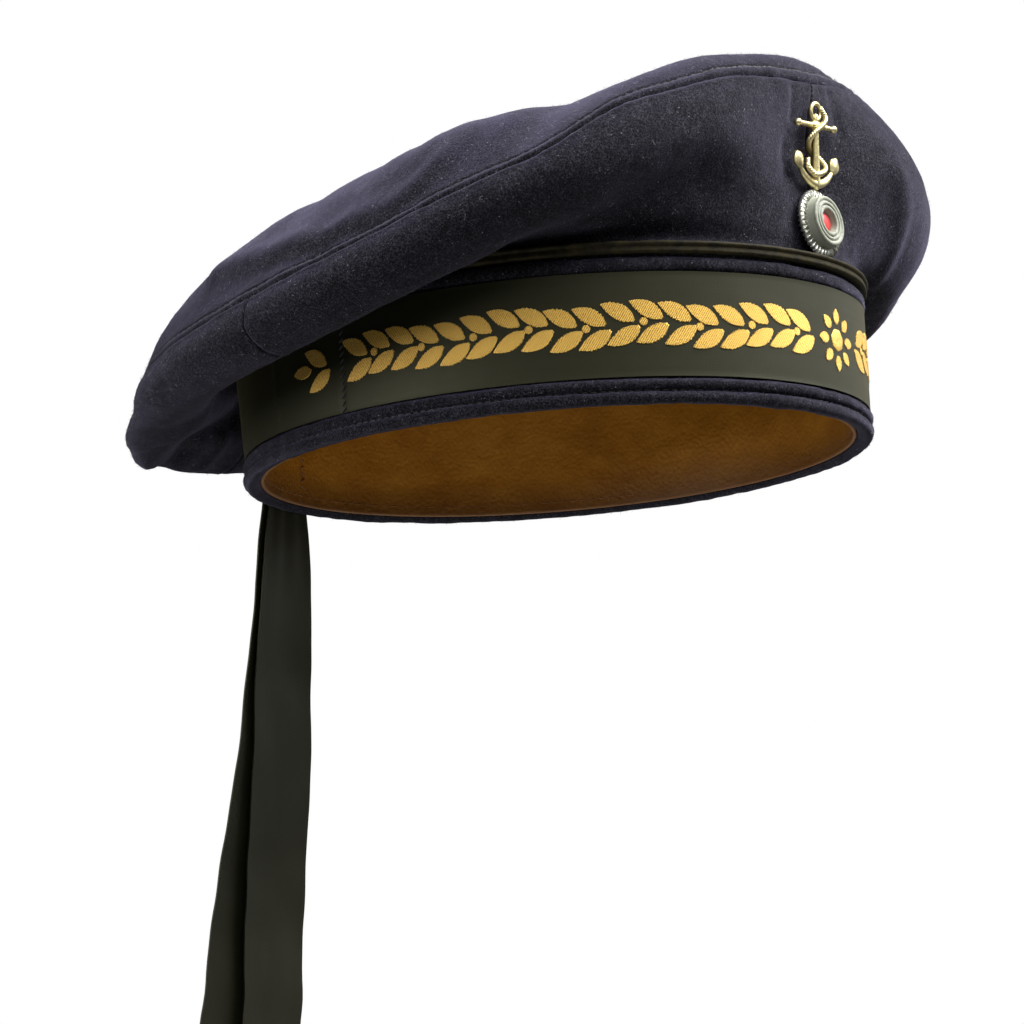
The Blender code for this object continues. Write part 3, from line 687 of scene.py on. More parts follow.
CROWN_FOLDS = (
    # half width and height in mm, then the angles and levels it runs through
    (13, -3.2, (-31, 2.3), (-44, 2.0), (-58, 1.7)),     # hollow across the front right panel
    (12, -1.9, (-8, 0.95), (-30, 0.95), (-62, 1.05)),   # tuck over the piping
    (3.5, -0.9, (-8, 2.85), (-7.5, 2.6)),   # dimple beside the badge
    (2.0, -0.6, (-7, 3.85), (-6, 3.35)),    # puckers either side of the front seam
    (2.2, -0.7, (7, 3.8), (9, 3.2)),
    (4, 1.2, (22, 2.9), (28, 2.3), (32, 1.8)),      # standing fold on the front left panel
    (20, 2.8, (42, 2.3), (56, 1.8)),        # belly of the front left panel
    (3.5, 1.5, (-117, 4.66), (-106, 4.46), (-98, 4.38), (-92, 4.27), (-88, 4.31), (-81, 4.24),
     (-77, 4.34), (-73, 4.52)),             # broken ridge along the near shoulder
    (2.5, -1.1, (-114, 4.48), (-106, 4.33), (-98, 4.25), (-92, 4.15), (-88, 4.18), (-81, 4.12),
     (-77, 4.2)),                           # crease below it
    (8, -1.6, (-102, 4.95), (-90, 4.9)),    # dips in the top behind it
    (7, 1.2, (-75, 4.85), (-71, 4.9)),
    (8, -2.5, (-60, 4.55), (-52, 5.2)),
    (10, -2.0, (-50, 4.7), (-38, 5.4)),
    (9, 1.0, (-12, 4.6), (8, 4.7)),         # raised front
    (7, 2.6, (-165, 1.55), (-154, 1.85), (-145, 2.12), (-147, 2.4), (-152, 2.66),
     (-157, 2.95)),                         # roll under the drooping back
    (5, -3.0, (-172, 1.8), (-163, 2.02), (-159, 2.3), (-163, 2.56)),    # where it turns under
    (4, 1.0, (-171, 2.1), (-172, 2.55)),    # soft upright fold behind it
    (2, -0.8, (-151, 3.05), (-149, 2.76), (-147, 2.5)),     # crease along it
    (10, 1.6, (-148, 3.15), (-157, 3.0)),   # full corner below it
    (3.5, -1.8, (-150, 3.68), (-136, 3.6)),     # pinch under the rim seam
    (12, 1.4, (-166, 2.85), (-190, 2.75)),  # full lower edge of the back
    (10, -2.5, (48, 2.6), (84, 2.2)),       # hollow low on the left
    (8, 1.5, (118, 2.3), (152, 2.8)),
)
RIM_LIFT = (-47, 8, 3.6)                # where the rim seam rides up: angle, half width, height
TOP_CENTRE = (0, 6, 80)
LEVEL_BROW, LEVEL_SEAM, LEVEL_CENTRE = 1, 4, 7
LEVEL_SPAN, DEGREE_SPAN = 25.0, 2.0     # what a level and a degree count for in mm, for folds
SECTION_STEP = 30                       # degrees between the rows of CROWN_SECTIONS
RIGHT_SEAM = -103
PANEL_SEAMS = (-180, RIGHT_SEAM, 0, -RIGHT_SEAM)
PANEL_RADIUS, RIM_RADIUS = 110, 118     # mean ones, to space a panel's points and the topstitches
CLOTH = 2.0
TOPSTITCH_IN, TOPSTITCH_STEP = 3.3, 2.8


def catmull_rom(a, b, c, d, t):
    """A smooth curve's points between b and c, at share t of the way."""
    return 0.5 * (2 * b + (c - a) * t + (2 * a - 5 * b + 4 * c - d) * t**2
                  + (3 * b - a - 3 * c + d) * t**3)


def spare_ends(rows):
    """The rows with one more at each end, in line with the last two there."""
    return np.concatenate([2 * rows[:1] - rows[1:2], rows, 2 * rows[-1:] - rows[-2:-1]])


def spline_at(rows, where):
    """The smooth curve through rows, which have one spare at each end, at many places."""
    span = np.clip(np.floor(where).astype(int), 0, len(rows) - 4)
    return catmull_rom(*(rows[span + k] for k in range(4)), (where - span)[..., None])


def plain_crown(angle, level):
    """The crown's smooth surface, by angle from the front and level from the band to the middle."""
    angle, level = (np.asarray(a, float) for a in np.broadcast_arrays(angle, level))
    rows = np.array(CROWN_SECTIONS, float)
    rows = np.concatenate([rows[-1:], rows, rows[:2]])
    row = spline_at(rows, ((angle + 180) % 360) / SECTION_STEP)
    _, seam_r, seam_z, bulge_r, bulge_z, fold_r, fold_z, inward, rise, dome = np.moveaxis(row, -1, 0)
    lift_at, lift_width, lift_height = RIM_LIFT
    lift = lift_height * np.exp(-((angle - lift_at) / lift_width)**2)
    seam_z, rise = seam_z + lift, rise - lift
    droop = np.clip((62 - fold_z) / 22, 0, 1)
    s, c = np.sin(np.radians(angle)), np.cos(np.radians(angle))
    band = BAND_FRONT * BAND_SIDE / np.sqrt((BAND_FRONT * s)**2 + (BAND_SIDE * c)**2)

    def at(radius, high):
        return points_from(radius * s, -radius * c, high)

    centre = np.broadcast_to(np.array(TOP_CENTRE, float), (*angle.shape, 3))
    shoulder = at(seam_r - inward, seam_z + rise)
    middle = 0.5 * (shoulder + centre)
    middle[..., 2] += dome
    line = np.stack([
        at(band - 2.7 + 1.3 * droop, BAND_TOP - 0.6 + 1.0 * droop),
        at(band - 3.6 + 7.8 * droop, BAND_TOP + 2.6 - 1.8 * droop),
        at(fold_r, fold_z), at(bulge_r, bulge_z), at(seam_r, seam_z), shoulder, middle, centre])
    line = spare_ends(line)
    span = np.clip(np.floor(level).astype(int), 0, len(line) - 4)
    near = (np.take_along_axis(line, (span + k)[None, ..., None], 0)[0] for k in range(4))
    return catmull_rom(*near, (level - span)[..., None])


ANGLE_STEP = 1.5
CROWN_LEVELS, CROWN_ANGLES = np.linspace(0, LEVEL_CENTRE, 701), np.arange(-180, 180, ANGLE_STEP)
TURN_EASE, EASE_STEP = 4.5, 0.5         # how far a turn is eased along the cloth, in mm


def eased_lines():
    """The crown's lines from band to middle with their tight turns eased, as thick cloth turns them."""
    reach = int(3 * TURN_EASE / EASE_STEP)
    weights = np.exp(-0.5 * (np.arange(-reach, reach + 1) * EASE_STEP / TURN_EASE)**2)
    weights /= weights.sum()

    def blurred(line):
        ends = [2 * line[:1] - line[reach:0:-1], line, 2 * line[-1:] - line[-2:-reach - 2:-1]]
        padded = np.concatenate(ends)
        return np.stack([np.convolve(padded[:, axis], weights, "valid") for axis in range(3)], 1)

    eased = plain_crown(CROWN_ANGLES[None, :], CROWN_LEVELS[:, None])
    for k in range(len(CROWN_ANGLES)):
        steps = np.linalg.norm(np.diff(eased[:, k], axis=0), axis=1)
        walked = np.concatenate([[0], np.cumsum(steps)])
        even = np.arange(0, walked[-1], EASE_STEP)
        line = np.stack([np.interp(even, walked, eased[:, k, axis]) for axis in range(3)], 1)
        soft = blurred(line)
        soft = soft + 0.6 * blurred(line - soft)
        eased[:, k] = np.stack([np.interp(walked, even, soft[:, axis]) for axis in range(3)], 1)
    return eased


crown_lines = eased_lines()
crown_lines = np.concatenate([crown_lines[:, -1:], crown_lines, crown_lines[:, :2]], 1)


def crown_at(angle, level):
    """The eased crown at any angle and level."""
    angle, level = (np.asarray(a, float) for a in np.broadcast_arrays(angle, level))
    row = np.clip(level / LEVEL_CENTRE * (len(CROWN_LEVELS) - 1), 0, len(CROWN_LEVELS) - 1.001)
    low = np.floor(row).astype(int)
    column = ((angle + 180) % 360) / ANGLE_STEP
    first = np.clip(np.floor(column).astype(int), 0, len(CROWN_ANGLES) - 1)
    t, u = (column - first)[..., None], (row - low)[..., None]

    def along(level_row):
        return catmull_rom(*(crown_lines[level_row, first + k] for k in range(4)), t)

    return along(low) * (1 - u) + along(low + 1) * u


def fold_height(angle, level):
    """The sum of the folds, in mm out from the plain crown."""
    total = 0.0
    for width, high, *path in CROWN_FOLDS:
        nearest = np.inf
        for (angle0, level0), (angle1, level1) in zip(path, path[1:]):
            run_across, run_up = DEGREE_SPAN * (angle1 - angle0), LEVEL_SPAN * (level1 - level0)
            off_across = DEGREE_SPAN * ((angle - angle0 + 180) % 360 - 180)
            off_up = LEVEL_SPAN * (level - level0)
            t = np.clip((off_across * run_across + off_up * run_up) / (run_across**2 + run_up**2), 0, 1)
            nearest = np.minimum(nearest, np.hypot(off_across - t * run_across, off_up - t * run_up))
        total = total + high * np.exp(-(nearest / width)**2)
    return total


def crown_normal(angle, level):
    """The direction straight out of the plain crown."""
    level = np.clip(level, 0.02, LEVEL_CENTRE - 0.1)
    across = crown_at(angle + 0.5, level) - crown_at(angle - 0.5, level)
    upward = crown_at(angle, level + 0.02) - crown_at(angle, level - 0.02)
    return unit(np.cross(across, upward))


def crown_cloth(angle, level, from_rim, on_top):
    """The cloth's face and back, with folds, slack, seams and puckers. from_rim is mm from the rim."""
    place, normal = crown_at(angle, level), crown_normal(angle, level)
    settled = 0.35 + 0.65 * np.clip(from_rim / 12, 0, 1)
    slack = 1.1 * bumps(place, 42, 11) + 0.5 * bumps(place, 17, 12)
    soft = fold_height(angle, level) + settled * slack
    pucker = bumps(points_from(angle * DEGREE_SPAN, 0, on_top * 50), 6, 14)
    drawn = 1 + 0.5 * bumps(points_from(angle * DEGREE_SPAN, 7, 0), 3.2, 16)
    crisp = 0.17 * bumps(place, 4.5, 13) + 0.4 * pucker * np.exp(-(from_rim / 5)**2)
    crisp = crisp - 0.75 * drawn * np.exp(-(from_rim / 0.55)**2)
    crisp = crisp + 0.2 * np.exp(-((from_rim - 1.6) / 0.9)**2)
    if on_top:
        crisp = crisp - 0.42 * drawn * np.exp(-((from_rim - TOPSTITCH_IN) / 0.5)**2)
    else:
        radius = np.hypot(place[..., 0], place[..., 1])
        for k, seam in enumerate(PANEL_SEAMS):
            aside = np.abs((angle - seam + 180) % 360 - 180) * pi / 180 * radius
            pull = bumps(points_from(0, level * LEVEL_SPAN, k * 9), 6, 15)
            crisp = crisp - 0.6 * np.exp(-(aside / 0.45)**2)
            crisp = crisp + (0.9 if seam == 0 else 0.25) * pull * np.exp(-((aside - 2.2) / 2.6)**2)
    return place + normal * (soft + crisp)[..., None], place + normal * (soft - CLOTH)[..., None]


# Distances from a seam, in mm, of the rows and columns that draw its groove and puckers.
NEAR_SEAM = np.array([
    0, 0.25, 0.5, 0.75, 1.05, 1.4, 1.8, 2.2, 2.55, 2.8, 3.05, 3.3, 3.55, 3.8, 4.1, 4.6, 5.4, 6.5, 8.0])


def rim_rows(angles, rest, on_top):
    """Levels and distances from the rim seam, for rows close together by the seam and `rest` more
    spread over what is left of each column, down to the band or in to the middle."""
    levels = np.linspace(LEVEL_SEAM, LEVEL_CENTRE if on_top else 0.0, 301)
    lines = crown_at(angles[None, :], levels[:, None])
    walked = np.cumsum(np.linalg.norm(np.diff(lines, axis=0), axis=2), 0)
    walked = np.concatenate([np.zeros((1, len(angles))), walked])
    share = np.arange(1, rest + 1)[:, None] / rest
    far = NEAR_SEAM[-1] + (walked[-1:] - NEAR_SEAM[-1]) * share
    away = np.concatenate([np.repeat(NEAR_SEAM[:, None], len(angles), 1), far])
    found = [np.interp(away[:, k], walked[:, k], levels) for k in range(len(angles))]
    return np.stack(found, 1), away


def crown_panel(start, end):
    """One side panel, hung from the rim seam to the band."""
    per_degree = PANEL_RADIUS * pi / 180
    wide, edge = (end - start) * per_degree, NEAR_SEAM[-1]
    inner = np.linspace(edge, wide - edge, int((wide - 2 * edge) / 1.5))[1:-1]
    across = np.concatenate([NEAR_SEAM + 0.05, inner, wide - NEAR_SEAM[::-1] - 0.05])
    angles = start + across / per_degree
    levels, away = rim_rows(angles, 66, False)
    return two_sided(*crown_cloth(np.broadcast_to(angles, levels.shape), levels, away, False))


def crown_disc():
    """The top, from the rim seam to its middle."""
    angles = np.arange(400) * 0.9
    levels, away = rim_rows(angles, 58, True)
    face, back = crown_cloth(np.broadcast_to(angles, levels.shape), levels, away, True)
    face[-1], back[-1] = face[-1].mean(0), back[-1].mean(0)
    return two_sided(face, back, joined=True)


for name, node, start, end in (
        ("panel_front_right", "crown_front_right", RIGHT_SEAM, 0),
        ("panel_back_right", "crown_back_right", -180, RIGHT_SEAM),
        ("panel_front_left", "crown_front_left", 0, -RIGHT_SEAM),
        ("panel_back_left", "crown_back_left", -RIGHT_SEAM, 180)):
    dressed_piece(name, [crown_panel(start, end)], wool, [node], "navy_wool", sharp=75)
dressed_piece("top_disc", [crown_disc()], wool, ["crown_top"], "navy_wool", sharp=75)

stitch_angles = np.arange(0, 360, TOPSTITCH_STEP / RIM_RADIUS * 180 / pi)
levels, away = rim_rows(stitch_angles, 1, True)
row = np.argmin(np.abs(NEAR_SEAM - TOPSTITCH_IN))
seam_line = crown_cloth(stitch_angles, levels[row], away[row], True)[0]
seam_out = crown_normal(stitch_angles, levels[row])
dressed_piece("rim_topstitches", [stitches(
    seam_line, np.roll(seam_line, -1, 0) - np.roll(seam_line, 1, 0), seam_out, 2.1, 0.45)], thread)


# ---- Ribbon tails and knot ----------------------------------------------------------------------
# The ribbon's two free ends hang down the back from a flat bow. They are the same silk rep, each
# cut to a shallow swallow tail, gathered narrow at the bow and easing out to full width below.
TAIL_SECTIONS = (
    # z, middle x, half width, back y, camber
    (22, -1, 9, 0.0, 0.2),
    (4, -1, 10, 0.2, 0.4),
    (-12, -1, 12.5, 1.0, 0.8),
    (-40, -1, 14.5, 2.5, 1.0),
    (-80, -3, 16, 6.0, 0.8),
    (-130, -7, 16, 13.5, 0.6),
    (-190, -11, 16, 23.0, 0.4),
    (-250, -16, 16, 33.0, 0.2),
)
TAIL_BACK = 103.3
TAIL_NOTCH, NOTCH_REACH = 7, 22
TAIL_INSIDE = 0.9                       # the inner tail leans out this much of the outer one
BOW_MIDDLE = (0, 108.2, 22)
BOW_HALF = 14.6
BOW_WAIST, BOW_FLARE = 8.2, 4.6         # half height at the waist, and what the ends add to it
WRAP_HALF, WRAP_DEEP, WRAP_HIGH = 4.3, 2.1, 9.4     # half measures of the turn round the waist
BOW_THICK = 0.45


def tail_sheet(side, layer, lean_share):
    """One hanging end. The left one mirrors the right and hangs inside it."""
    rows = spare_ends(np.array(TAIL_SECTIONS, float))
    row = spline_at(rows, np.linspace(0, len(TAIL_SECTIONS) - 1, 130))[:, None, :]
    z, middle, half, lean, camber = np.moveaxis(row, -1, 0)
    place = np.linspace(-1, 1, 29)[None, :]
    bottom = TAIL_SECTIONS[-1][0]
    notch = np.clip(1 - (z - bottom) / NOTCH_REACH, 0, 1) * TAIL_NOTCH * (1 - np.abs(place))
    spot = points_from(z, place * half, 0)
    free = np.clip((8 - z) / 60, 0, 1)
    edge = 0.6 * bumps(spot * (1, 0, 0) + (0, 5, 0), 11, 21) * np.abs(place) * free
    ripple = free * (1.0 * bumps(spot * (1, 0.4, 1), 46, 22) + 0.4 * bumps(spot, 16, 23)
                     + 3.4 * np.clip(-z / 110, 0, 1))
    gathers = 0.25 * np.cos(place * 9) * np.clip((z + 30) / 50, 0, 1)
    x = side * middle + place * half + edge
    y = TAIL_BACK + layer + lean_share * lean + camber * (1 - place**2) + ripple + gathers
    face = points_from(x, y, z + notch)
    return two_sided(face, face - (0, RIBBON_THICK - 0.1, 0), points_from(z, place * half) * MM)


for name, node, side, layer, lean_share in (
        ("tail_left", "tally_tail_left", -1, RIBBON_THICK, TAIL_INSIDE),
        ("tail_right", "tally_tail_right", 1, 2 * RIBBON_THICK + 0.5, 1)):
    tail = dressed_piece(name, [tail_sheet(side, layer, lean_share)], ribbon, [node], "black_ribbon")


def bow_loops():
    """The flat loop of ribbon, drawn in at its waist."""
    turn = 2 * pi * np.arange(120)[None, :] / 120
    q = np.linspace(-1, 1, 27)[:, None]
    out = np.abs(np.cos(turn))
    half = BOW_WAIST + BOW_FLARE * np.clip(out / 0.75, 0, 1)**1.6
    depth = 0.35 + 1.5 * out**0.6
    pleat = 0.55 * np.cos(q * 8) * np.exp(-(out / 0.42)**2)
    x = BOW_HALF * np.cos(turn) + 0.5 * q**2 * np.sign(np.cos(turn))
    y = BOW_MIDDLE[1] + (depth + 0.3 * (1 - q**2)) * np.sin(turn) + pleat
    face = points_from(x, y, BOW_MIDDLE[2] + q * half)
    inward = -points_from(np.cos(turn) * 0.9, np.sin(turn), 0 * q)
    uv = points_from(turn * 9.5, q * half) * MM
    return two_sided(face, face + BOW_THICK * inward, uv, joined=True)


def bow_wrap():
    """The short turn of ribbon that holds the bow's waist."""
    turn = 2 * pi * np.arange(72)[None, :] / 72
    q = np.linspace(-1, 1, 15)[:, None]
    ridge = 0.2 * np.cos(q * 7)
    y = BOW_MIDDLE[1] + (WRAP_DEEP + ridge) * np.cos(turn)
    z = BOW_MIDDLE[2] + (WRAP_HIGH + ridge) * np.sign(np.sin(turn)) * np.abs(np.sin(turn))**0.7
    x = q * (WRAP_HALF + 0.5 * np.abs(np.sin(turn)))
    face = points_from(x, y, z)
    inward = -points_from(0 * q, np.cos(turn), np.sin(turn))
    uv = points_from(turn * 6, q * WRAP_HALF) * MM
    return two_sided(face, face + BOW_THICK * inward, uv, joined=True)


dressed_piece("bow", [bow_loops(), bow_wrap()], ribbon, ["tally_knot"], "black_ribbon")


# ---- Badge --------------------------------------------------------------------------------------
# A small fouled anchor, cast in zinc and washed with pale gilt, held by prongs through the cloth.
# The wash is pale on the high parts; the low parts toward the cloth are painted dark as shade, and the
# wash has toned dark in blotches.
BADGE_HEIGHT, BADGE_LIFT = 86, 3.3
ARM_RADIUS, ARM_MIDDLE, ARM_END = 10.0, -1.6, 62
SHANK_LOW, SHANK_HIGH = -12.0, 9.3
STOCK_HEIGHT, STOCK_HALF, STOCK_OUT = 6.4, 9.0, 0.1
RING_HEIGHT, RING_RADIUS = 10.8, 2.5
PALM_LENGTH, PALM_HALF, PALM_BACK = 6.6, 2.9, 2.4   # a palm starts this far back from its arm's end
PALM_TURN = 28                          # degrees from the shank


def front_seat(height, lift):
    """A fitting's own axes on the front seam, in mm: right, up the cloth, outward, and its middle."""
    levels = np.linspace(LEVEL_BROW, LEVEL_SEAM, 60)

    def folded(angle, level):
        return crown_at(angle, level) + crown_normal(angle, level) * fold_height(angle, level)[..., None]

    def at(angle, level):
        return folded(np.array([float(angle)]), np.array([float(level)]))[0]

    heights = folded(np.zeros(60), levels)[:, 2]
    level = levels[np.argmin(np.abs(heights - height))]
    across, upward = at(6, level) - at(-6, level), at(0, level + 0.2) - at(0, level - 0.2)
    out = np.cross(across, upward)
    out /= np.linalg.norm(out)
    right = across / np.linalg.norm(across)
    return np.stack([right, np.cross(out, right), out]), at(0, level) + out * lift


def seated(solids, seat):
    """Solids made flat in a fitting's own axes, moved to their seat. uv holds height over the cloth."""
    axes, middle = seat
    moved = []
    for points, faces, _ in solids:
        points = points.reshape(-1, 3)
        uv = np.stack([np.arctan2(points[:, 1], points[:, 0]), points[:, 2]], 1) * MM
        moved.append((points @ axes + middle, faces, uv))
    return moved


def path_axes(ahead):
    """The directions along a path, across it and out of the cloth, each of length one."""
    ahead = unit(ahead)
    aside = unit(np.cross(ahead, (0.02, 0.03, 1.0)))
    return ahead, aside, np.cross(aside, ahead)


def rod(path, radii, around=12, closed=False, flat=1.0):
    """A round bar along a path, with domed ends unless it closes on itself."""
    path, radii = np.asarray(path, float), np.broadcast_to(radii, len(path)).astype(float)
    ahead = np.roll(path, -1, 0) - np.roll(path, 1, 0) if closed else np.gradient(path, axis=0)
    ahead, aside, up = path_axes(ahead)
    if not closed:
        dome = np.radians([85, 60, 30])
        lead = path[:1] - ahead[:1] * (radii[0] * np.sin(dome))[:, None]
        trail = path[-1:] + ahead[-1:] * (radii[-1] * np.sin(dome[::-1]))[:, None]
        path = np.concatenate([lead, path, trail])
        radii = np.concatenate([radii[0] * np.cos(dome), radii, radii[-1] * np.cos(dome[::-1])])
        aside = np.concatenate([aside[:1].repeat(3, 0), aside, aside[-1:].repeat(3, 0)])
        up = np.concatenate([up[:1].repeat(3, 0), up, up[-1:].repeat(3, 0)])
    turn = 2 * pi * np.arange(around)[None, :, None] / around
    points = path[:, None] + radii[:, None, None] * (
        np.cos(turn) * aside[:, None] + flat * np.sin(turn) * up[:, None])
    faces = grid_faces(len(path), around, closed, True)
    if not closed:
        fan = [[0, k + 2, k + 1, k] for k in range(1, around - 2, 2)]
        ends = np.array(fan + [[0, around - 1, around - 2, around - 2]] * (around % 2))
        faces = np.concatenate([faces, ends, ends[:, ::-1] + (len(path) - 1) * around])
    return points.reshape(-1, 3), faces, None


def palm(side):
    """The flat spade at the end of an arm, ridged down its middle."""
    t, q = np.linspace(0, 1, 20)[:, None], np.linspace(-1, 1, 15)[None, :]
    width = PALM_HALF * np.sin(pi * np.clip(t, 0.03, 0.97)**1.5)**0.75 * (1 - 0.25 * t)
    ahead = np.array([side * sin(radians(PALM_TURN)), cos(radians(PALM_TURN)), 0])
    aside = np.array([ahead[1], -ahead[0], 0])
    end = radians(ARM_END)
    arm_end = np.array([side * ARM_RADIUS * sin(end), ARM_MIDDLE - ARM_RADIUS * cos(end), 0])
    spine = arm_end - ahead * PALM_BACK
    flat = spine + (t * PALM_LENGTH)[..., None] * ahead + (q * width)[..., None] * aside
    thick = (0.5 + 0.75 * (1 - np.abs(q)) * np.sin(pi * np.clip(t, 0.05, 0.95)))[..., None] * (0, 0, 1)
    return two_sided(flat + thick, flat - 0.5 * thick)


def rope(path, radius, lay):
    """Three strands twisted together along a path."""
    rows = spare_ends(np.asarray(path, float))
    line = spline_at(rows, np.linspace(0, len(path) - 1, 30 * len(path)))
    ahead = np.gradient(line, axis=0)
    walked = np.cumsum(np.linalg.norm(ahead, axis=1))
    _, aside, up = path_axes(ahead)
    strands = []
    for k in range(3):
        turn = (2 * pi * (walked / lay + k / 3))[:, None]
        strand = line + 0.52 * radius * (np.cos(turn) * aside + np.sin(turn) * up)
        strands.append(rod(strand, 0.55 * radius, 8))
    return strands


arm_turns = np.radians(np.linspace(-ARM_END, ARM_END, 41))
arms = points_from(ARM_RADIUS * np.sin(arm_turns), ARM_MIDDLE - ARM_RADIUS * np.cos(arm_turns), 0)
ring_turns = 2 * pi * np.arange(40) / 40
anchor_ring = points_from(
    RING_RADIUS * np.cos(ring_turns), RING_HEIGHT + RING_RADIUS * np.sin(ring_turns), 0)
shank = points_from(0, np.linspace(SHANK_LOW, SHANK_HIGH, 24), 0)
stock = points_from(np.linspace(-STOCK_HALF, STOCK_HALF, 25), STOCK_HEIGHT, STOCK_OUT)
FOULING_ROPE = (
    # across, up, out
    (2.2, 12.0, 0.4), (3.9, 9.4, 1.0), (1.6, 7.0, 1.9), (-2.2, 4.2, 1.7), (-3.6, 1.4, 0.2),
    (-1.2, -1.4, -1.4), (2.3, -3.6, -0.2), (3.7, -6.0, 1.0), (1.2, -8.0, 2.0), (-2.6, -9.0, 1.8),
    (-5.2, -6.9, 0.9), (-4.6, -4.4, 0.2),
)
anchor_parts = [
    rod(shank, np.linspace(1.55, 0.95, 24), 14, flat=0.9),
    rod(stock, 0.95 - 0.25 * np.abs(np.linspace(-1, 1, 25))**2, 12),
    *(rod([(a, STOCK_HEIGHT, STOCK_OUT), (b, STOCK_HEIGHT, STOCK_OUT)], thick, around)
      for a, b, thick, around in ((-9.6, -9.4, 1.25, 12), (9.4, 9.6, 1.25, 12), (-1.5, 1.5, 1.45, 14))),
    rod(anchor_ring, 0.72, 12, closed=True),
    rod(arms, 1.45 - 0.75 * (np.abs(arm_turns) / arm_turns[-1])**1.6, 14, flat=0.9),
    palm(-1), palm(1), *rope(FOULING_ROPE, 0.85, 2.6)]

# Gilt zinc: a thin pale gold wash over grey metal, satin. Its low parts toward the cloth are painted
# olive brown as shade, and real toning adds blotches.
gilt_zinc, gilt_zinc_shader = new_finish("gilt_zinc", {"Metallic": 1.0})
places = add_node(gilt_zinc_shader, "TexCoord", {})
over_cloth = add_node(gilt_zinc_shader, "SeparateXYZ", {0: places.outputs["UV"]})
# Painted shade: darker on the anchor's low parts, toward the cloth.
shade_toward_cloth = add_node(gilt_zinc_shader, "MapRange", {
    "Value": over_cloth.outputs[1], "From Min": -0.0006, "From Max": 0.0009,
    "To Min": 0.85, "To Max": 0.0})
patina = add_node(gilt_zinc_shader, "TexNoise", {
    "Vector": places.outputs["Object"], "Scale": 620, "Detail": 5, "Roughness": 0.7})
blotches = add_node(gilt_zinc_shader, "MapRange", {
    "Value": patina.outputs["Fac"], "From Min": 0.5, "From Max": 0.68, "To Max": 0.75})
shade_and_toning = add_node(gilt_zinc_shader, "Math", {
    0: shade_toward_cloth.outputs[0], 1: blotches.outputs[0]}, operation="MAXIMUM")
wash = add_node(gilt_zinc_shader, "Mix", {
    0: shade_and_toning.outputs[0], 6: linear("#e9dca6"), 7: linear("#6a5a2c")}, data_type="RGBA")
dulling = add_node(gilt_zinc_shader, "MapRange", {
    "Value": shade_and_toning.outputs[0], "To Min": 0.3, "To Max": 0.6})
pits = add_node(gilt_zinc_shader, "Bump", {
    "Height": patina.outputs["Fac"], "Strength": 0.5, "Distance": 0.0003})
set_inputs(gilt_zinc_shader, {
    "Base Color": wash.outputs[2], "Roughness": dulling.outputs[0], "Normal": pits.outputs[0]})
dressed_piece("anchor_badge", seated(anchor_parts, front_seat(BADGE_HEIGHT, BADGE_LIFT)), gilt_zinc,
              ["badge"], "pale_gilt")


# ---- Cockade ------------------------------------------------------------------------------------
# A plain round cockade under the badge: a crimped silvery rim, a thick ring in grey lacquer turned
# with two grooves, and a small red centre set deep inside it.
COCKADE_HEIGHT, COCKADE_LIFT = 61, 1.8
COCKADE_TEETH = 40
CRIMP_INNER, CRIMP_WIDE, CRIMP_THICK = 7.4, 3.0, 0.35
CRIMP_HIGH, CRIMP_DROP = 1.6, 1.1       # over the cloth, and how far the edge turns down
FLUTE_OUT, FLUTE_HIGH = 0.55, 0.68      # of each flute, to either side of the rim's mean


def turned_solid(outline, steps):
    """A closed outline of radii and heights turned about the fitting's own axis."""
    outline = np.asarray(outline, float)
    turn = 2 * pi * np.arange(steps)[:, None] / steps
    points = points_from(outline[:, 0] * np.cos(turn), outline[:, 0] * np.sin(turn), outline[:, 1])
    return points.reshape(-1, 3), grid_faces(steps, len(outline), True, True), None


def crimped_rim():
    """Sheet metal pressed into flutes, which deepen outward and turn down at the edge."""
    turn = 2 * pi * np.arange(COCKADE_TEETH * 10)[None, :] / (COCKADE_TEETH * 10)
    wave = np.cos(COCKADE_TEETH * turn)
    t = np.linspace(0, 1, 14)[:, None]
    radius = CRIMP_INNER + CRIMP_WIDE * np.sin(t * pi / 2) + FLUTE_OUT * wave * t**2
    high = CRIMP_HIGH - CRIMP_DROP * t**3 + FLUTE_HIGH * wave * np.clip(t * 3, 0, 1)
    face = points_from(radius * np.cos(turn), radius * np.sin(turn), high)
    return two_sided(face, face - (0, 0, CRIMP_THICK), joined=True)


# Silvered sheet metal: bright where the flutes stand up, tarnished brown between them.
silver, silver_shader = new_finish("silvered_sheet", {"Metallic": 1.0})
places = add_node(silver_shader, "TexCoord", {})
depth = add_node(silver_shader, "SeparateXYZ", {0: places.outputs["UV"]})
tarnish = add_node(silver_shader, "TexNoise", {
    "Vector": places.outputs["Object"], "Scale": 700, "Detail": 4, "Roughness": 0.7})
low = add_node(silver_shader, "MapRange", {
    "Value": depth.outputs[1], "From Min": 0.0003, "From Max": 0.0015, "To Min": 0.55, "To Max": 0.0})
black = add_node(silver_shader, "MapRange", {
    "Value": tarnish.outputs["Fac"], "From Min": 0.47, "From Max": 0.6, "To Max": 0.8})
dark = add_node(silver_shader, "Math", {0: low.outputs[0], 1: black.outputs[0]}, operation="MAXIMUM")
plate = add_node(silver_shader, "Mix", {
    0: dark.outputs[0], 6: linear("#f2f3ec"), 7: linear("#5c583f")}, data_type="RGBA")
frost = add_node(silver_shader, "MapRange", {
    "Value": tarnish.outputs["Fac"], "To Min": 0.2, "To Max": 0.45})
set_inputs(silver_shader, {"Base Color": plate.outputs[2], "Roughness": frost.outputs[0]})
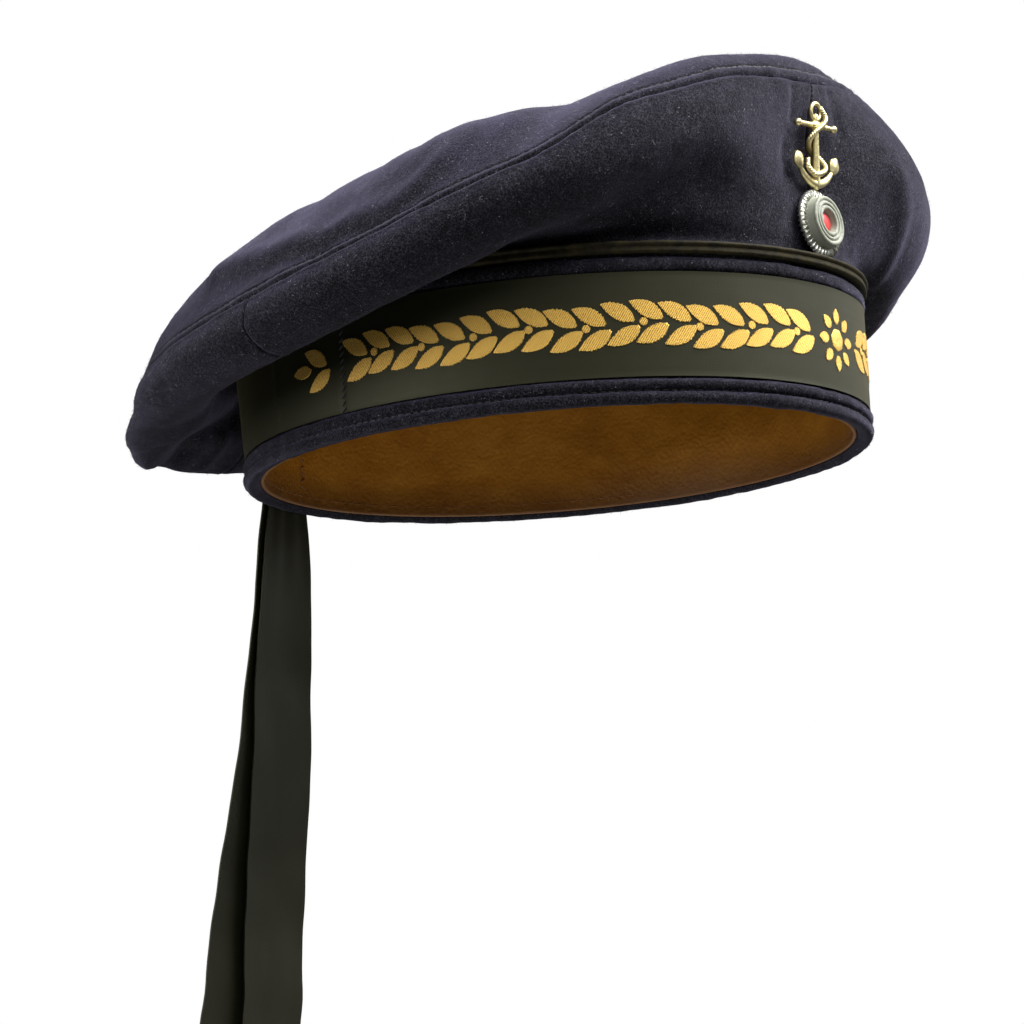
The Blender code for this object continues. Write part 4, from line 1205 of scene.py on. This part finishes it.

# Grey lacquer baked on spun metal: a soft gloss. The face is painted darker and patchy and the side wall
# lighter, as painted shade and painted light for how the lamps fall on them.
lacquer, lacquer_shader = new_finish("grey_lacquer", {"Specular IOR Level": 0.35})
places = add_node(lacquer_shader, "TexCoord", {})
depth = add_node(lacquer_shader, "SeparateXYZ", {0: places.outputs["UV"]})
rubbed = add_node(lacquer_shader, "TexNoise", {
    "Vector": places.outputs["Object"], "Scale": 900, "Detail": 4, "Roughness": 0.6})
# Painted shade on the face and painted light on the side wall: the mix darkens with height.
ridge = add_node(lacquer_shader, "MapRange", {
    "Value": depth.outputs[1], "From Min": 0.0038, "From Max": 0.0046, "To Min": 0.3, "To Max": 1.4})
face_shade_patches = add_node(lacquer_shader, "Math", {
    0: ridge.outputs[0], 1: rubbed.outputs["Fac"]}, operation="MULTIPLY")
grey = add_node(lacquer_shader, "Mix", {
    0: face_shade_patches.outputs[0], 6: linear("#adb0a0"), 7: linear("#75786a")}, data_type="RGBA")
film = add_node(lacquer_shader, "MapRange", {
    "Value": rubbed.outputs["Fac"], "To Min": 0.4, "To Max": 0.65})
orange_peel = add_node(lacquer_shader, "Bump", {
    "Height": rubbed.outputs["Fac"], "Strength": 0.25, "Distance": 0.0002})
set_inputs(lacquer_shader, {
    "Base Color": grey.outputs[2], "Roughness": film.outputs[0], "Normal": orange_peel.outputs[0]})

# Vitreous red enamel over a stippled ground.
enamel, enamel_shader = new_finish("red_enamel", {
    "Coat Weight": 0.2, "Coat Roughness": 0.1, "Roughness": 0.4})
place = add_node(enamel_shader, "TexCoord", {}).outputs["Object"]
clouds = add_node(enamel_shader, "TexNoise", {"Vector": place, "Scale": 800, "Detail": 3})
red = add_node(enamel_shader, "Mix", {
    0: clouds.outputs["Fac"], 6: linear("#a8151a"), 7: linear("#d43634")}, data_type="RGBA")
set_inputs(enamel_shader, {"Base Color": red.outputs[2]})

ring_outline = (
    [(3.1, 1.2), (8.3, 1.2), (8.35, 1.6)]
    + line_of_section((8.3, 1.9), (7.95, 4.2), 6)
    + arc_of_section(7.25, 4.45, 0.68, 0.6, 10, 150, 8)
    + arc_of_section(6.45, 4.85, 0.26, 0.2, 210, 330, 5)[::-1]
    + arc_of_section(5.75, 4.75, 0.5, 0.32, 20, 160, 7)
    + arc_of_section(5.1, 4.8, 0.2, 0.2, 210, 330, 5)[::-1]
    + arc_of_section(4.35, 4.65, 0.6, 0.42, 20, 160, 7)
    + line_of_section((3.65, 4.3), (3.2, 2.4), 5))
centre_outline = (
    [(0.0, 1.5), (3.2, 1.5), (3.2, 2.9)]
    + arc_of_section(0, 2.8, 3.1, 1.0, 15, 90, 10))
seat = front_seat(COCKADE_HEIGHT, COCKADE_LIFT)
for name, solid, finish, node, slot in (
        ("cockade_crimped_rim", crimped_rim(), silver, "cockade_rim", "silver_metal"),
        ("cockade_turned_ring", turned_solid(ring_outline, 112), lacquer, "cockade_ring", "grey_metal"),
        ("cockade_red_centre", turned_solid(centre_outline, 64), enamel, "cockade_centre", "red_enamel")):
    dressed_piece(name, seated([solid], seat), finish, [node], slot)


# ---- Nap ----------------------------------------------------------------------------------------
# Loose wool fibres that stand or lie on the melton, felted into it at one end, with a few pale ones
# picked up from elsewhere. They are about 0.03 mm thick, drawn at 0.07 mm so that they show.
NAP_SIDE, NAP_TOP, NAP_ROLLS = 10500, 10500, 3000
NAP_RADIUS, NAP_RISE = 0.035, 0.8
NAP_ROLL_SEATS = (
    # middle high, radius high and radius out of the band's rolls, where the fibres are rooted
    (2.0, 1.9, 1.75), (6.05, 1.75, 1.75), (42.6, 2.1, 1.3))

chance = np.random.default_rng(5)


def nap_fibres(spot, out):
    """Bent spindles, one from each spot, as triangles. uv holds a random tone for each."""
    count = len(spot)
    heading = unit(np.cross(out, chance.normal(size=(count, 3))))
    aside = np.cross(out, heading)
    long = chance.uniform(0.5, 1.5, (count, 1))
    rise = NAP_RISE * chance.uniform(0.05, 1.0, (count, 1))**2
    bend = chance.uniform(-0.3, 0.3, (count, 1)) * long
    middle = spot + (0.06 + 0.35 * rise) * out + 0.5 * long * heading + bend * aside
    tip = spot + (0.04 + rise) * out + long * (1 - 0.25 * rise) * heading
    turns = (0.5, 0.5 + 2 * pi / 3, 0.5 + 4 * pi / 3)
    around = [NAP_RADIUS * (cos(turn) * aside + sin(turn) * out) for turn in turns]
    points = np.stack([spot - 0.1 * out, *[middle + turned for turned in around], tip], 1)
    one = np.array([[0, 1, 2], [0, 2, 3], [0, 3, 1], [4, 2, 1], [4, 3, 2], [4, 1, 3]])
    faces = (one[None] + (5 * np.arange(count))[:, None, None]).reshape(-1, 3)
    tone = np.repeat(chance.uniform(0, 1, count), 5)
    return points.reshape(-1, 3), faces, points_from(tone, 0)


def crown_fibres(count, on_top):
    """Fibres on the top disc or the side panels, spread evenly over the cloth."""
    angle, share = chance.uniform(-180, 180, count), chance.uniform(0, 1, count)
    level = LEVEL_CENTRE - (LEVEL_CENTRE - LEVEL_SEAM) * np.sqrt(share) if on_top else 1.1 + 2.9 * share
    face = crown_cloth(angle, level, np.abs(level - LEVEL_SEAM) * LEVEL_SPAN, on_top)[0]
    return nap_fibres(face, crown_normal(angle, level))


def roll_fibres(count):
    """Fibres on the band's three rolls."""
    turn, around = chance.uniform(-180, 180, count), chance.uniform(-80, 75, count) * pi / 180
    high, tall, wide = np.array(NAP_ROLL_SEATS)[chance.integers(0, len(NAP_ROLL_SEATS), count)].T
    offset, height = -0.1 + wide * np.cos(around), high + tall * np.sin(around)
    spot = oval_point(turn, offset, height)
    out = oval_point(turn, offset + np.cos(around), height + np.sin(around)) - spot
    return nap_fibres(spot, unit(out))


# Single wool fibres: navy to grey, soft and dull, one in eight of them pale.
fibre, fibre_shader = new_finish("loose_wool_fibre", {
    "Roughness": 0.8, "Specular IOR Level": 0.2, "Sheen Weight": 0.3})
tone = add_node(fibre_shader, "SeparateXYZ", {0: add_node(fibre_shader, "TexCoord", {}).outputs["UV"]})
dyed = add_node(fibre_shader, "Mix", {
    0: tone.outputs[0], 6: linear("#15141c"), 7: linear("#55525f")}, data_type="RGBA")
pale = add_node(fibre_shader, "MapRange", {
    "Value": tone.outputs[0], "From Min": 0.87, "From Max": 0.9, "To Max": 0.8})
hair = add_node(fibre_shader, "Mix", {
    0: pale.outputs[0], 6: dyed.outputs[2], 7: linear("#a9a6ad")}, data_type="RGBA")
set_inputs(fibre_shader, {"Base Color": hair.outputs[2]})
dressed_piece("nap_fibres", [
    crown_fibres(NAP_SIDE, False), crown_fibres(NAP_TOP, True), roll_fibres(NAP_ROLLS)], fibre)


# ---- Lint ---------------------------------------------------------------------------------------
# Pale stray hairs and ends of thread, 0.5 to 2.2 mm long, that melton picks up in wear. They lie
# curled on the nap, held by it alone, and are drawn about 0.1 mm thick so that they show.
LINT_COUNT = 70

chance = np.random.default_rng(11)
hairs = []
for k in range(LINT_COUNT):
    angle, level = chance.uniform(-180, 180), chance.uniform(1.6, 6.4)
    normal = crown_normal(angle, level)
    place = (np.array([value]) for value in (angle, level, abs(level - LEVEL_SEAM) * LEVEL_SPAN))
    spot = crown_cloth(*place, level > LEVEL_SEAM)[0][0]
    heading = np.cross(normal, chance.normal(size=3))
    heading /= np.linalg.norm(heading)
    aside = np.cross(normal, heading)
    long, curl = chance.uniform(0.5, 2.2), chance.uniform(-0.9, 0.9)
    t = np.linspace(-0.5, 0.5, 7)[:, None]
    path = spot + long * t * heading + curl * long * (0.25 - t**2) * aside
    path = path + normal * (0.12 + 0.25 * (0.25 - t**2) * long)
    hairs.append(rod(path, chance.uniform(0.03, 0.055), 5))
# Loose wool and cotton: dull, from the cloth's own grey to a pale warm grey.
lint, lint_shader = new_finish("pale_lint", {"Roughness": 0.8, "Sheen Weight": 0.3})
place = add_node(lint_shader, "TexCoord", {}).outputs["Object"]
kinds = add_node(lint_shader, "TexNoise", {"Vector": place, "Scale": 70, "Detail": 1})
hair = add_node(lint_shader, "Mix", {
    0: kinds.outputs["Fac"], 6: linear("#5d5a66"), 7: linear("#a5a29c")}, data_type="RGBA")
set_inputs(lint_shader, {"Base Color": hair.outputs[2]})
dressed_piece("lint_hairs", hairs, lint)


# ---- Studio -------------------------------------------------------------------------------------
# A pale paper floor well below the held cap, and a white surround. Six soft boxes light the cap from
# above its middle, on both sides, in front of it and behind.
FLOOR_DEPTH, FLOOR_HALF = -1.6, 6
AMBIENT, MIRRORED = 0.02, 0.3          # how bright the surround is as light and in reflections

floor_mesh = bpy.data.meshes.new("floor")
corners = ((-1, -1), (1, -1), (1, 1), (-1, 1))
floor_mesh.from_pydata(
    [(FLOOR_HALF * x, FLOOR_HALF * y, FLOOR_DEPTH) for x, y in corners], [], [(0, 1, 2, 3)])
floor = bpy.data.objects.new("floor", floor_mesh)
bpy.context.scene.collection.objects.link(floor)
paper, paper_shader = new_finish("studio_paper", {"Base Color": linear("#eeeeec"), "Roughness": 0.9})
# Its underside is clear, so the cap can be looked at from below.
side = add_node(paper_shader, "NewGeometry", {})
seen = add_node(paper_shader, "Math", {0: 1.0, 1: side.outputs["Backfacing"]}, operation="SUBTRACT")
set_inputs(paper_shader, {"Alpha": seen.outputs[0]})
# The seen paper glows evenly white for the camera alone, and gives no light to the cap.
seen_by = add_node(paper_shader, "LightPath", {})
paper_light = add_node(paper_shader, "Math", {
    0: seen_by.outputs["Is Camera Ray"], 1: 0.8}, operation="MULTIPLY")
set_inputs(paper_shader, {"Emission Color": (1, 1, 1, 1), "Emission Strength": paper_light.outputs[0]})
floor_mesh.materials.append(paper)

SOFT_BOXES = (
    # across, up and toward the camera from the cap in m, side in m, watts
    (-0.9, 1.1, 0.0, 0.9, 10),
    (0.9, 1.1, 0.0, 0.9, 48),
    (-1.2, 0.3, 0.5, 0.9, 13.5),
    (0.3, 1.1, 0.9, 0.9, 7.5),
    (1.2, 0.5, -0.7, 0.9, 3),
    (0.8, 1.2, -0.8, 0.9, 14),
)
for across, up, toward, size, watts in SOFT_BOXES:
    lamp = bpy.data.objects.new("soft_box", bpy.data.lights.new("soft_box", "AREA"))
    lamp.data.shape, lamp.data.size, lamp.data.energy = "SQUARE", size, watts
    lamp.location = camera_right * across + camera_up * up + toward_camera * toward
    lamp.rotation_mode = "QUATERNION"
    lamp.rotation_quaternion = lamp.location.to_track_quat("Z", "Y")
    bpy.context.scene.collection.objects.link(lamp)

world = bpy.data.worlds.new("white_surround")
world.use_nodes = True
surround = world.node_tree.nodes["Background"]
ray = add_node(surround, "LightPath", {})
mirrored = add_node(surround, "MapRange", {
    "Value": ray.outputs["Is Glossy Ray"], "To Min": AMBIENT, "To Max": MIRRORED})
glow = add_node(surround, "Math", {
    0: mirrored.outputs[0], 1: ray.outputs["Is Camera Ray"]}, operation="MAXIMUM")
set_inputs(surround, {"Strength": glow.outputs[0], "Color": (1, 1, 1, 1)})
bpy.context.scene.world = world
bpy.context.scene.view_settings.view_transform = "Standard"
